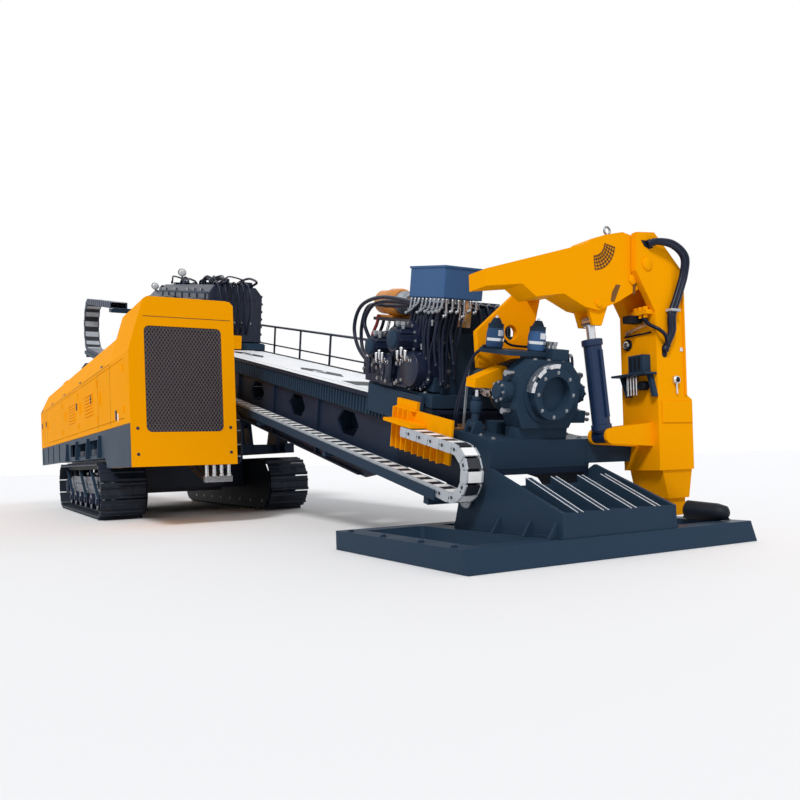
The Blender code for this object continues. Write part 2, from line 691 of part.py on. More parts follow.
def mast_beam():
    """Two deep webs with lightening holes under a deck, tied by cross members."""
    half, bottom = WEB_HOLE_HALF, -BEAM_DEPTH
    holes = [
        rounded((u, WEB_HOLE_W - half), (u + WEB_HOLE_LENGTH, WEB_HOLE_W + half), half - 0.02, 1)
        for u in bays(MAST_REAR + 1.2, TAPER[0] - 0.6)
    ]
    holes.append(circle(ANCHOR_PIN, clear(ANCHOR_PIN_RADIUS), 16))
    inside = (-WEB_OUTER + 0.01, WEB_OUTER - 0.01)
    pieces = [plate("y", web, web_outline(), holes) for web in both(WEB_OUTER, WEB_OUTER - WEB_T)]
    flange_u = (MAST_REAR + 0.85, TAPER[0] - 0.05)
    for flange in both(WEB_OUTER - 0.01, WEB_OUTER - 0.16):
        pieces.append(box(flange_u, flange, (bottom + 0.005, bottom + 0.035)))
    pieces.append(box((MAST_REAR, SHOULDER_U), (-DECK_HALF, DECK_HALF), (-DECK_T, 0.0)))
    for u in bays(MAST_REAR + 0.9, TAPER[0]):
        pieces.append(box((u, u + 0.08), inside, (bottom + 0.07, bottom + 0.36)))
    pieces.append(box((SHOULDER_U - 0.06, NOSE_U - 0.002), inside, (SHELF_W - 0.05, SHELF_W - 0.002)))
    u, w = TILT_PIN
    bore = circle((u, w), clear(TILT_PIN_RADIUS), 16)
    for v in (-TILT_LUG_V, TILT_LUG_V):
        outline = [(u - 0.3, bottom + 0.12), *arc((u, w), 0.11, -180, 0, 6), (u + 0.3, bottom + 0.12)]
        pieces.append(plate("y", (v - 0.04, v + 0.04), outline, (bore,)))
    pieces.append(box((u - 0.25, u + 0.25), inside, (bottom + 0.002, bottom + 0.12)))
    u, w = LIFT_EYE
    pieces.append(box((u - 0.22, u + 0.22), inside, (bottom + 0.002, bottom + 0.10)))
    reach = 0.05 + RUN
    top = bottom + 0.06
    outline = [(u - 0.18, top), (u - 0.07, w - 0.08), (u + 0.07, w - 0.08), (u + 0.18, top)]
    for _, v in LIFT_SIDES:
        for inner, outer in ((reach, reach + 0.04), (-reach, -reach - 0.04)):
            pieces.append(plate("y", (v + inner, v + outer), outline))
    node("mast_beam", pieces, "slate", MAST, (TILT_PIN[0], 0, TILT_PIN[1]))


def walkway():
    """A floor on brackets along the mast's left web."""
    web = WEB_OUTER + GAP
    foot = -BEAM_DEPTH + 0.06
    arm = [(web, foot), (web + 0.08, foot), (WALK_EDGE - 0.02, WALK_W - 0.08),
           (WALK_EDGE - 0.02, WALK_W - 0.01), (web, WALK_W - 0.01)]
    pieces = [box(WALK_U, (web, WALK_EDGE), (WALK_W - 0.02, WALK_W + 0.02))]
    for i in range(7):
        u = WALK_U[0] + 0.05 + (WALK_U[1] - WALK_U[0] - 0.15) * i / 6
        pieces.append(plate("x", (u, u + 0.05), arm))
    node("walkway", pieces, "slate", MAST)


def railing():
    """Posts, two rails and a rounded front end on the walkway's outer edge."""
    v = WALK_EDGE - 0.03
    floor = WALK_W + 0.02 + GAP
    (rear, front), top = RAIL_U, RAIL_TOP
    bend = [(rear, v, floor), (rear, v, top), (front - 0.35, v, top), (front - 0.15, v, top - 0.03),
            (front, v, top - 0.15), (front, v, floor)]
    middle = (floor + top) / 2
    pieces = [tube(bend, 0.021, 0), tube([(rear, v, middle), (front, v, middle)], 0.018, 0)]
    for i in range(1, RAIL_POSTS):
        u = rear + (front - rear) * i / RAIL_POSTS
        pieces.append(tube([(u, v, floor), (u, v, top)], 0.020, 0))
    node("railing", pieces, "black", MAST)


def chain_tray(name, chain, u):
    """An open tray under a chain's lower run, on arms from the mast's right web."""
    low, high = chain["v"][0] - 0.01, chain["v"][1] + 0.01
    floor = chain["low"] - RUN
    section = [
        (low - TRAY_T, floor - TRAY_T), (high + TRAY_T, floor - TRAY_T), (high + TRAY_T, floor + TRAY_WALL),
        (high, floor + TRAY_WALL), (high, floor), (low, floor), (low, floor + TRAY_WALL),
        (low - TRAY_T, floor + TRAY_WALL),
    ]
    pieces = [plate("x", u, section)]
    count = max(2, round((u[1] - u[0]) / 1.9))
    for i in range(count):
        at = u[0] + 0.1 + (u[1] - u[0] - 0.3) * i / (count - 1)
        arm = (low + 0.01, -WEB_OUTER - GAP)
        pieces.append(box((at, at + 0.08), arm, (floor - TRAY_T - 0.07, floor - 0.004)))
    node(name, pieces, "slate", MAST)


def chain_rows(chain):
    """A chain's centre line as (point, normal): top run, bend, low run."""
    forward = 1 if chain["turn"] > chain["start"] else -1
    radius = (chain["top"] - chain["low"] - chain["depth"]) / 2
    middle = (chain["top"] + chain["low"]) / 2
    centre = chain["turn"] - forward * (radius + chain["depth"] / 2)
    rows = [((chain["start"], middle + radius), (0, 1))]
    for i in range(CHAIN_BEND + 1):
        angle = math.pi * i / CHAIN_BEND
        normal = (forward * math.sin(angle), math.cos(angle))
        rows.append(((centre + normal[0] * radius, middle + normal[1] * radius), normal))
    rows.append(((chain["end"], middle - radius), (0, -1)))
    return rows


def energy_chain(name, chain):
    """Two bands of link plates with a web of crossbars between them."""
    v0, v1 = chain["v"]
    half, bar, side = chain["depth"] / 2, CHAIN_BAR, CHAIN_PLATE
    shape = bmesh.new()
    rings = []
    for (u, w), (nu, nw) in chain_rows(chain):
        profile = (
            (v0, -half), (v0 + side, -half), (v0 + side, -bar), (v1 - side, -bar), (v1 - side, -half),
            (v1, -half), (v1, half), (v1 - side, half), (v1 - side, bar), (v0 + side, bar),
            (v0 + side, half), (v0, half),
        )
        rings.append([shape.verts.new((u + nu * h, v, w + nw * h)) for v, h in profile])
    for ring, following in zip(rings, rings[1:]):
        for i in range(len(ring)):
            j = (i + 1) % len(ring)
            shape.faces.new((ring[i], ring[j], following[j], following[i]))
    for ring in (rings[0], rings[-1]):
        shape.faces.new((ring[0], ring[1], ring[2], ring[9], ring[10], ring[11]))
        shape.faces.new((ring[2], ring[3], ring[8], ring[9]))
        shape.faces.new((ring[3], ring[4], ring[5], ring[6], ring[7], ring[8]))
    node(name, [from_bmesh(shape)], "chain_grey", MAST)


# Vises on the nose


def vise_bed():
    """The vises' bed on the mast's nose, and the arm that carries the crane's column."""
    w = VISE_BED_W
    pieces = [box(VISE_BED_U, (-0.55, 0.55), w)]
    pieces.append(box((7.98, 8.26), (0.50, COLUMN_Y[0] - MAST_Y - GAP), (w[0] + 0.03, w[1] - 0.02)))
    for a, b in (FRONT_VISE_U, REAR_VISE_U):
        foot_u = (a + 0.03, min(b, VISE_BED_U[1]) - 0.04)
        pieces.append(box(foot_u, (-0.28, 0.28), (w[1] - 0.02, VISE_FOOT_W)))
    outline = ear((BREAKOUT_V - 0.08, BREAKOUT_V + 0.08), w[1] - 0.02, (BREAKOUT_V, BREAKOUT_BASE_W), 0.05)
    near = BREAKOUT_EYE_HALF + RUN
    far = near + BREAKOUT_EAR
    for inner, outer in ((near, far), (-near, -far)):
        pieces.append(plate("x", (BREAKOUT_U + inner, BREAKOUT_U + outer), outline))
    ends = [(BREAKOUT_U + side * (far - 0.01), BREAKOUT_V, BREAKOUT_BASE_W) for side in (-1, 1)]
    pieces.append(cylinder(*ends, BREAKOUT_PIN, 16))
    node("vise_bed", pieces, "slate", MAST)


def front_vise():
    """The fixed vise: jaw housing, front flange, and two accumulators on a shelf."""
    a, b = FRONT_VISE_U
    foot = VISE_FOOT_W + GAP
    housing = [
        (-0.26, foot), (0.26, foot), (0.34, 0.14), (0.34, 0.42), (0.20, 0.56), (-0.20, 0.56),
        (-0.34, 0.42), (-0.34, 0.14),
    ]
    body = joined([
        plate("x", (a, b - 0.09), housing),
        cylinder((b - 0.12, 0, DRILL_W), (b, 0, DRILL_W), VISE_RADIUS, 24),
        cylinder((REAR_VISE_U[1] + GAP, 0, DRILL_W), (a + 0.02, 0, DRILL_W), VISE_RADIUS - 0.02, 24),
        box((7.70, a + 0.12), (-0.38, 0.08), (0.585, 0.625)),
        box((a + 0.01, a + 0.11), (-0.18, 0.06), (0.54, 0.60)),
    ])
    pieces = [cut(body, [cylinder((REAR_VISE_U[0], 0, DRILL_W), (b + 0.1, 0, DRILL_W), VISE_BORE, 24)])]
    for u, v in ((7.78, -0.28), (8.06, -0.04)):
        pieces.append(cylinder((u, v, 0.61), (u, v, 0.84), 0.07, 16))
        pieces.append(cylinder((u, v, 0.83), (u, v, 0.89), 0.06, 16, 0.03))
    node("front_vise", pieces, "slate", MAST)


def rear_vise():
    """The turning vise, with its lever over the breakout cylinder."""
    a, b = REAR_VISE_U
    bore = circle((0, DRILL_W), VISE_BORE, 24)
    lever = [(-0.54, 0.285), (-0.54, 0.36), (-0.24, 0.48), (-0.16, 0.44), (-0.22, 0.26), (-0.40, 0.285)]
    pieces = [
        plate("x", (a, b), circle((0, DRILL_W), VISE_RADIUS + 0.03, 24), (bore,)),
        plate("x", (a + 0.05, b - 0.05), lever),
    ]
    node("rear_vise", pieces, "orange", MAST, (a, 0, DRILL_W))


def breakout_cylinder():
    """The small cylinder that turns the rear vise: barrel on the bed, rod up to the lever."""
    u, v, w = BREAKOUT_U, BREAKOUT_V, BREAKOUT_BASE_W
    half = BREAKOUT_EYE_HALF
    bore = circle((v, w), clear(BREAKOUT_PIN, 16), 16)
    eye = plate("x", (u - half, u + half), circle((v, w), 0.045, 16), (bore,))
    foot, up = Vector((u, v, w)), Vector((0, 0, 1))
    body = barrel(foot, up, (0.035, 0.255), 0.035, 0.02, 0.09)
    node("breakout_barrel", [eye, body], "slate", MAST, (u, v, w))
    rod = cylinder((u, v, w + 0.12), (u, v, BREAKOUT_TOP_W), 0.02, 16)
    node("breakout_rod", [rod], "bright_steel", MAST, (u, v, BREAKOUT_TOP_W))


# Carriages


def carriage_bed(span):
    """A bed on four wear pads, with arms down both sides of the deck."""
    a, b = span
    pieces = [box(span, (-0.58, 0.58), BED_W)]
    for u in (a + 0.05, b - 0.30):
        for pad in both(0.40, 0.56):
            pieces.append(box((u, u + 0.25), pad, (GAP, BED_W[0] + 0.02)))
    outer = DECK_HALF + RUN
    for arm, bridge in zip(both(outer, outer + 0.03), both(0.50, outer + 0.02)):
        pieces.append(box((a + 0.1, b - 0.1), arm, (-0.16, 0.12)))
        pieces.append(box((a + 0.11, b - 0.11), bridge, (0.05, 0.11)))
    return pieces


def front_carriage():
    """The drive carriage: bed, gearbox, motors, power box, spindle and chain bracket."""
    a, b = CARRIAGE_U
    floor = BED_W[1] + GAP
    node("carriage_bed", carriage_bed(CARRIAGE_U), "slate", MAST)
    case = joined([
        box((a + 0.15, b - 0.10), (-GEARBOX_HALF, GEARBOX_HALF), (floor, GEARBOX_TOP)),
        box((a + 0.40, b - 0.25), (-HUMP_HALF, HUMP_HALF), (GEARBOX_TOP - 0.02, HUMP_TOP)),
    ])
    bore_radius = clear(SPINDLE_SHAFT, SPINDLE_SIDES)
    bore = cylinder((b - 0.35, 0, DRILL_W), (b + 0.1, 0, DRILL_W), bore_radius, SPINDLE_SIDES)
    node("gearbox", [cut(case, [bore])], "slate", MAST)
    box_u, box_v, box_w = POWER_BOX
    post = box((box_u[0] + 0.1, b - 0.30), (-0.33, -0.20), (HUMP_TOP + GAP, box_w[0] + 0.01))
    node("power_box", [box(box_u, box_v, box_w), post], "blue", MAST)
    wall = -GEARBOX_HALF - GAP
    motors = [box((a + 0.30, a + 0.95), (-0.50, wall), (0.40, 0.58))]
    for u, w, radius in ((a + 0.36, 0.52, 0.165), (a + 0.82, 0.62, 0.19)):
        motors.append(cylinder((u, wall, w), (u, -0.62, w), radius, 20))
        motors.append(cylinder((u, -0.60, w), (u, -0.78, w), radius * 0.62, 16))
    node("feed_motors", motors, "black", MAST)
    spindle = [
        cylinder((b - 0.33, 0, DRILL_W), (b - 0.02, 0, DRILL_W), SPINDLE_SHAFT, SPINDLE_SIDES),
        cylinder((b - 0.05, 0, DRILL_W), (b + 0.06, 0, DRILL_W), SPINDLE_FLANGE, 24),
    ]
    node("spindle", spindle, "bright_steel", MAST, (b, 0, DRILL_W))


def chain_bracket():
    """The ribbed bracket that carries the front chain's top run beside the carriage."""
    b = CARRIAGE_U[1]
    skirt = -(DECK_HALF + RUN + 0.03) - GAP
    chain_side = FRONT_CHAIN["v"][1] + GAP
    pieces = [box((b - 0.50, b + 0.50), (chain_side, chain_side + 0.022), (-0.42, -0.02))]
    pieces.append(box((b - 0.50, b - 0.12), (chain_side, skirt), (-0.14, 0.06)))
    start = FRONT_CHAIN["start"]
    shelf_w = FRONT_CHAIN["top"] + GAP
    across = (FRONT_CHAIN["v"][0], chain_side + 0.01)
    pieces.append(box((b - 0.45, start + 0.18), across, (shelf_w, shelf_w + 0.03)))
    node("chain_bracket", pieces, "orange", MAST)


def rear_carriage():
    """The second carriage up the mast, with its power pack and the arm to its chain."""
    a, b = REAR_CARRIAGE_U
    bed = carriage_bed(REAR_CARRIAGE_U)
    arm_w = REAR_CHAIN["top"] - REAR_CHAIN["depth"] - GAP
    bed.append(box((a + 0.05, a + 0.35), (REAR_CHAIN["v"][0] + 0.02, -0.48), (arm_w - 0.08, arm_w)))
    bed.append(box((a + 0.05, a + 0.35), (-0.56, -0.48), (0.10, arm_w - 0.02)))
    node("rear_carriage_bed", bed, "slate", MAST)
    floor = BED_W[1] + GAP
    section = [
        (-0.46, floor), (0.55, floor), (0.55, PACK_TOP - 0.15), (0.42, PACK_TOP), (-0.36, PACK_TOP),
        (-0.46, PACK_TOP - 0.15),
    ]
    node("rear_power_pack", [plate("x", (a + 0.4, b - 0.1), section)], "black", MAST)


# Lift cylinders


def lift_cylinders():
    """The pair that raises the mast: barrels on the deck frame, rods to the beam."""
    base = Vector((LIFT_BASE[0], 0, LIFT_BASE[1]))
    eye = mast_point(*LIFT_EYE)
    eye.y = 0
    along = (eye - base).normalized()
    side_step = Vector((0, 0.1, 0))
    for side, v in LIFT_SIDES:
        y = MAST_Y + v
        foot = base + Vector((0, y, 0))
        tip = eye + Vector((0, y, 0))
        body = joined([
            barrel(foot, along, (0.11, LIFT_BARREL), 0.085, LIFT_ROD_RADIUS, LIFT_BORE),
            cylinder(foot, foot + along * 0.14, 0.055, 16),
            plate("y", (y - 0.06, y + 0.06), circle((base.x, base.z), 0.09, 16)),
        ])
        bore_radius = clear(LIFT_PIN_RADIUS, PIN_SIDES)
        pin_hole = cylinder(foot - side_step, foot + side_step, bore_radius, PIN_SIDES)
        node(f"lift_barrel_{side}", [cut(body, [pin_hole])], "slate", pivot=foot)
        rod = [
            cylinder(foot + along * LIFT_ROD_START, tip, LIFT_ROD_RADIUS, 16),
            plate("y", (y - 0.05, y + 0.05), circle((eye.x, eye.z), 0.06, 16)),
        ]
        node(f"lift_rod_{side}", rod, "bright_steel", pivot=tip)


# Anchor


def anchor_plate():
    """The open tray on the floor: rails round three bays, its front face leaning out."""
    (y0, y1), h, rail = PLATE_Y, PLATE_H, PLATE_RAIL
    top_front = PLATE_FRONT - PLATE_FLARE
    bay_x = (PLATE_REAR + rail, top_front - rail)
    edges = (y0 + rail - 0.1, MAST_Y - WEDGE_OUTER, MAST_Y + WEDGE_OUTER, y1 - rail + 0.1)
    bay_outlines = [
        rounded((bay_x[0], low + 0.10), (bay_x[1], high - 0.10), 0.03, 1)
        for low, high in zip(edges, edges[1:])
    ]
    outline = [(PLATE_REAR, y0), (top_front, y0), (top_front, y1), (PLATE_REAR, y1)]
    flare = [
        (top_front - 0.05, 0.001), (PLATE_FRONT, 0.001), (top_front + 0.005, h - 0.001),
        (top_front - 0.05, h - 0.001),
    ]
    pieces = [plate("z", (0, h), outline, bay_outlines), plate("y", (y0 + 0.001, y1 - 0.001), flare)]
    node("anchor_plate", pieces, "slate", pivot=mast_point(*ANCHOR_PIN))


def anchor_wedge():
    """Side plates and ramp rails that climb from the front block to the mast's nose."""
    pin = mast_point(*ANCHOR_PIN)
    front = PLATE_FRONT - PLATE_FLARE - 0.005
    low = PLATE_H + GAP
    inner = WEDGE_OUTER - WEDGE_T
    top_z = WEDGE_FRONT_Z + (front - WEDGE_TOP_X) * WEDGE_RISE
    side = [
        (pin.x - 0.25, low), (front, low), (front, WEDGE_FRONT_Z), (WEDGE_TOP_X, top_z - 0.03),
        (pin.x + 0.12, pin.z + 0.16), (pin.x - 0.12, pin.z + 0.10),
    ]
    pieces = [plate("y", (MAST_Y + a, MAST_Y + b), side) for a, b in both(WEDGE_OUTER, inner)]
    across = (MAST_Y - inner - 0.01, MAST_Y + inner + 0.01)
    pieces.append(box((front - 0.30, front - 0.002), across, (low + 0.001, WEDGE_FRONT_Z - 0.002)))
    ramp_z = WEDGE_FRONT_Z + (front - RAMP_TOP_X) * WEDGE_RISE
    ramp = [
        (front - 0.02, WEDGE_FRONT_Z - 0.03), (front - 0.02, WEDGE_FRONT_Z), (RAMP_TOP_X, ramp_z),
        (RAMP_TOP_X, ramp_z - 0.12), (front - 0.31, WEDGE_FRONT_Z - 0.06),
    ]
    for v in (-0.44, -0.18, 0.11, 0.37):
        pieces.append(plate("y", (MAST_Y + v, MAST_Y + v + 0.07), ramp))
    pieces.append(box((RAMP_TOP_X - 0.002, RAMP_TOP_X + 0.04), across, (low, ramp_z - 0.06)))
    for a, b in both(inner - 0.05, WEDGE_OUTER + 0.025):
        ends = ((pin.x, MAST_Y + a, pin.z), (pin.x, MAST_Y + b, pin.z))
        pieces.append(cylinder(*ends, ANCHOR_PIN_RADIUS, 16))
    node("anchor_wedge", pieces, "slate", pivot=pin)


# Crane


def crane_column():
    """The column: lower box and foot, shaft, and two cheeks that hold the boom's pin."""
    (x0, x1), (y0, y1) = COLUMN_X, COLUMN_Y
    shaft = [(y0, 0.62), (y1 + 0.075, 0.62), (y1 + 0.075, 1.26), (y1, 1.31), (y1, 2.08), (y0, 2.08)]
    boot = [(y0 + 0.05, 0.63), (y0 + 0.12, 0.36), (y1 + 0.02, 0.36), (y1 + 0.07, 0.63)]
    pieces = [
        plate("x", (x0, x1), shaft),
        box((x0 + 0.001, x1 - 0.001), (y1 - 0.15, y1 - 0.001), (2.0, 2.45)),
        plate("x", (x0 + 0.02, x1 - 0.02), boot),
        box((x0 + 0.05, x1 - 0.05), (y0 + 0.14, y1), (0.20, 0.38)),
    ]
    head = [
        (y0 + 0.001, 2.05), (y1 - 0.002, 2.05), (y1 - 0.002, 2.44), (1.70, 2.69), (1.62, 2.76),
        (1.40, 2.74), (1.38, 2.40),
    ]
    for cheek in ((x0 + 0.002, BOOM_X[0] - RUN), (BOOM_X[1] + RUN, x1 - 0.002)):
        pieces.append(plate("x", cheek, head))
    pieces.append(cylinder((x0 + 0.01, *BOOM_PIN), (x1 - 0.01, *BOOM_PIN), BOOM_PIN_RADIUS, PIN_SIDES))
    y, z = LUFF_BASE
    reach = 0.08 + RUN
    arm = [(y0 + 0.05, z - 0.10), (y0 + 0.05, z + 0.12), *arc((y, z), 0.07, 90, 270, 6)]
    for inner, outer in ((reach, reach + 0.03), (-reach, -reach - 0.03)):
        pieces.append(plate("x", (LUFF_X + inner, LUFF_X + outer), arm))
    pieces.append(cylinder((LUFF_X - 0.1, y, z), (LUFF_X + 0.1, y, z), LUFF_PIN_RADIUS, PIN_SIDES))
    node("crane_column", pieces, "orange", parent=MAST)


def crane_boom():
    """The boom, deepest at its root, with the cylinder's lugs and the jaw's spindle."""
    top = [(-0.20, 2.285), (0.856, 2.593), (0.93, 2.645), (1.10, 2.70), (1.30, 2.745), (1.56, 2.70)]
    root = arc(BOOM_PIN, 0.17, 60, -60, 4)
    bottom = [
        (1.22, 2.12), (0.99, 2.03), (0.83, 2.05), (0.60, 2.146), (0.30, 2.10), (0.16, 2.193),
        (-0.20, 2.147),
    ]
    bore = circle(BOOM_PIN, clear(BOOM_PIN_RADIUS, PIN_SIDES), PIN_SIDES)
    pieces = [plate("x", BOOM_X, (top + root + bottom)[::-1], (bore,))]
    y, z = LUFF_EYE
    lug = [(y - 0.12, z + 0.16), (y - 0.05, z - 0.05), (y + 0.05, z - 0.05), (y + 0.14, z + 0.16)]
    reach = 0.06 + RUN
    for inner, outer in ((reach, reach + 0.03), (-reach, -reach - 0.03)):
        pieces.append(plate("x", (LUFF_X + inner, LUFF_X + outer), lug))
    ends = ((JAW_X[0] - 0.03, *JAW_PIN), (BOOM_X[0] + 0.05, *JAW_PIN))
    pieces.append(cylinder(*ends, JAW_PIN_RADIUS, PIN_SIDES))
    pieces.append(cylinder((JAW_X[0] - 0.03, *JAW_PIN), (JAW_X[0] - RUN, *JAW_PIN), 0.08, 16))
    pieces.append(cylinder((JAW_X[1] + RUN, *JAW_PIN), (BOOM_X[0] + 0.05, *JAW_PIN), 0.08, 16))
    node("crane_boom", pieces, "orange", pivot=(LUFF_X, *BOOM_PIN), parent=MAST)


def rod_jaw():
    """The jaw plate that hangs from the boom, arched over the drill axis."""
    x = sum(JAW_X) / 2
    sine, cosine = math.sin(MAST_TILT), math.cos(MAST_TILT)
    axis_z = MAST_DECK_Z + DRILL_W * cosine - (x - DRILL_W * sine) * sine / cosine
    arch = arc((MAST_Y, axis_z), JAW_ARCH, 140, 40, 10)
    outline = [
        (MAST_Y - 0.33, 1.60), *arch, (MAST_Y + 0.33, 1.60), (0.875, 2.0), (0.955, 2.28), (0.95, 2.41),
        (0.80, 2.41), (MAST_Y - 0.34, 1.93),
    ]
    bore = circle(JAW_PIN, clear(JAW_PIN_RADIUS, PIN_SIDES), PIN_SIDES)
    holes = (bore, circle((0.595, 1.93), 0.07, 16))
    node("rod_jaw", [plate("x", JAW_X, outline, holes)], "orange", pivot=(x, *JAW_PIN), parent=MAST)


def luff_cylinder():
    """The cylinder that lifts the boom, foot on the column and rod to the boom's lugs."""
    foot = Vector((LUFF_X, *LUFF_BASE))
    tip = Vector((LUFF_X, *LUFF_EYE))
    along = (tip - foot).normalized()
    step = Vector((0.15, 0, 0))
    body = joined([
        barrel(foot, along, (0.04, LUFF_BARREL), 0.08, LUFF_ROD_RADIUS, LUFF_BORE),
        cylinder(foot - step * 0.52, foot + step * 0.52, 0.06, 16),
    ])
    hole = cylinder(foot - step, foot + step, clear(LUFF_PIN_RADIUS, PIN_SIDES), PIN_SIDES)
    node("luff_barrel", [cut(body, [hole])], "slate", pivot=foot, parent=MAST)
    rod = [
        cylinder(foot + along * LUFF_ROD_START, tip, LUFF_ROD_RADIUS, 16),
        cylinder(tip - step * 0.38, tip + step * 0.38, 0.05, 16),
    ]
    node("luff_rod", rod, "bright_steel", pivot=tip, parent=MAST)


for track_side, track_y in TRACKS:
    track(track_side, track_y)
    track_frame(track_side, track_y)
    drive_sprocket(track_side, track_y)
undercarriage()
main_frame()
house_shell()
front_grille()
side_doors()
side_skirt()
engine_block()
exhaust_cap()
mast_beam()
walkway()
railing()
chain_tray("front_chain_tray", FRONT_CHAIN, (-3.60, 7.90))
chain_tray("rear_chain_tray", REAR_CHAIN, (-8.30, -3.70))
energy_chain("front_chain", FRONT_CHAIN)
energy_chain("rear_chain", REAR_CHAIN)
vise_bed()
front_vise()
rear_vise()
breakout_cylinder()
front_carriage()
chain_bracket()
rear_carriage()
lift_cylinders()
anchor_plate()
anchor_wedge()
crane_column()
crane_boom()
rod_jaw()
luff_cylinder()
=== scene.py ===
import json
import random
from math import cos, pi, radians, sin, tan, tau

import bmesh
import bpy
from mathutils import Matrix, Vector


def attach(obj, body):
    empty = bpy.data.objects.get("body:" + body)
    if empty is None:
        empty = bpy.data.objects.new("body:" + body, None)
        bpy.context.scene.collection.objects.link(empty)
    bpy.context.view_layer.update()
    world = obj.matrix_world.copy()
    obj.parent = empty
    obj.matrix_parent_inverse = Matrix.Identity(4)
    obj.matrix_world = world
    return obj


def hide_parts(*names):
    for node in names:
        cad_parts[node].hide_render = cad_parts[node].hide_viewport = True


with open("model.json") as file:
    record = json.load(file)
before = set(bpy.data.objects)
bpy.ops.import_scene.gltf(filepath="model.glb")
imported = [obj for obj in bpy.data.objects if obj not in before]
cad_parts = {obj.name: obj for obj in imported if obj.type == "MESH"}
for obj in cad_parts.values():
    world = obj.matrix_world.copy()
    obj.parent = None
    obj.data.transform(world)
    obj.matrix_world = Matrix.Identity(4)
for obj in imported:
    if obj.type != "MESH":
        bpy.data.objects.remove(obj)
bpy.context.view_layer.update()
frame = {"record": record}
SCENE = bpy.context.scene
SCENE.view_settings.view_transform = "Standard"

# The mast's frame: u down along its deck, v to the left, w up from the deck
MAST_SLOPE = 12
MAST = Matrix.Translation((0, 0.55, 2.756)) @ Matrix.Rotation(radians(MAST_SLOPE), 4, "Y")
WORLD = Matrix.Identity(4)


# Camera, stage and light

EYE = (13.32, -3.87, 0.8)
GAZE = (-0.8709, 0.4915, 0.0)
ROLL = -1.834
FLOOR_REACH = 120.0
# Each sun's name, the way that it shines, its strength and its width in degrees
SUNS = (("key", (-0.52, 0.5, -0.69), 2.0, 12), ("fill", (0.5, -0.7, -0.5), 0.6, 60))


def camera():
    data = bpy.data.cameras.new("camera")
    data.lens = 35.1
    data.sensor_width = 36.0
    data.shift_y = 0.0733
    data.clip_end = 300.0
    place = bpy.data.objects.new("camera", data)
    SCENE.collection.objects.link(place)
    turn = Vector(GAZE).to_track_quat("-Z", "Y").to_matrix().to_4x4()
    place.matrix_world = Matrix.Translation(EYE) @ turn @ Matrix.Rotation(radians(ROLL), 4, "Z")
    SCENE.camera = place


def shader_node(tree, kind, values=None, **settings):
    """A shader node with its settings; an input takes a value or the socket that feeds it."""
    made = tree.nodes.new(f"ShaderNode{kind}")
    for key, value in settings.items():
        setattr(made, key, value)
    for key, value in (values or {}).items():
        if isinstance(value, bpy.types.NodeSocket):
            tree.links.new(value, made.inputs[key])
        else:
            made.inputs[key].default_value = value
    return made


def floor():
    mesh = bpy.data.meshes.new("floor")
    signs = ((-1, -1), (1, -1), (1, 1), (-1, 1))
    corners = [(a * FLOOR_REACH, b * FLOOR_REACH, -0.002) for a, b in signs]
    mesh.from_pydata(corners, [], [(0, 1, 2, 3)])
    made = bpy.data.objects.new("floor", mesh)
    SCENE.collection.objects.link(made)
    pale = bpy.data.materials.new("floor")
    pale.use_nodes = True
    shader = pale.node_tree.nodes["Principled BSDF"]
    shader.inputs["Base Color"].default_value = (0.86, 0.86, 0.87, 1)
    shader.inputs["Roughness"].default_value = 0.9
    mesh.materials.append(pale)


def studio():
    """White where the camera or a reflection sees it, soft light elsewhere, and two wide suns."""
    world = bpy.data.worlds.new("studio")
    SCENE.world = world
    world.use_nodes = True
    tree = world.node_tree
    tree.nodes.clear()
    path = shader_node(tree, "LightPath")
    seen = path.outputs["Is Camera Ray"]
    for ray in ("Is Glossy Ray", "Is Transmission Ray"):
        seen = shader_node(tree, "Math", {0: seen, 1: path.outputs[ray]}, operation="MAXIMUM").outputs[0]
    soft = shader_node(tree, "Background", {"Color": (0.95, 0.97, 1, 1), "Strength": 0.55})
    white = shader_node(tree, "Background", {"Color": (1, 1, 1, 1)})
    mix = shader_node(tree, "MixShader", {"Fac": seen, 1: soft.outputs[0], 2: white.outputs[0]})
    shader_node(tree, "OutputWorld", {"Surface": mix.outputs[0]})
    for name, towards, strength, angle in SUNS:
        lamp = bpy.data.lights.new(name, "SUN")
        lamp.energy = strength
        lamp.angle = radians(angle)
        place = bpy.data.objects.new(name, lamp)
        SCENE.collection.objects.link(place)
        place.rotation_euler = Vector(towards).to_track_quat("-Z", "Y").to_euler()


camera()
floor()
studio()


# Materials

MOTTLE = 0.06  # how far the gloss drifts
DUST_COLOUR = (0.2, 0.17, 0.13)
DUST_HEIGHT = 1.1


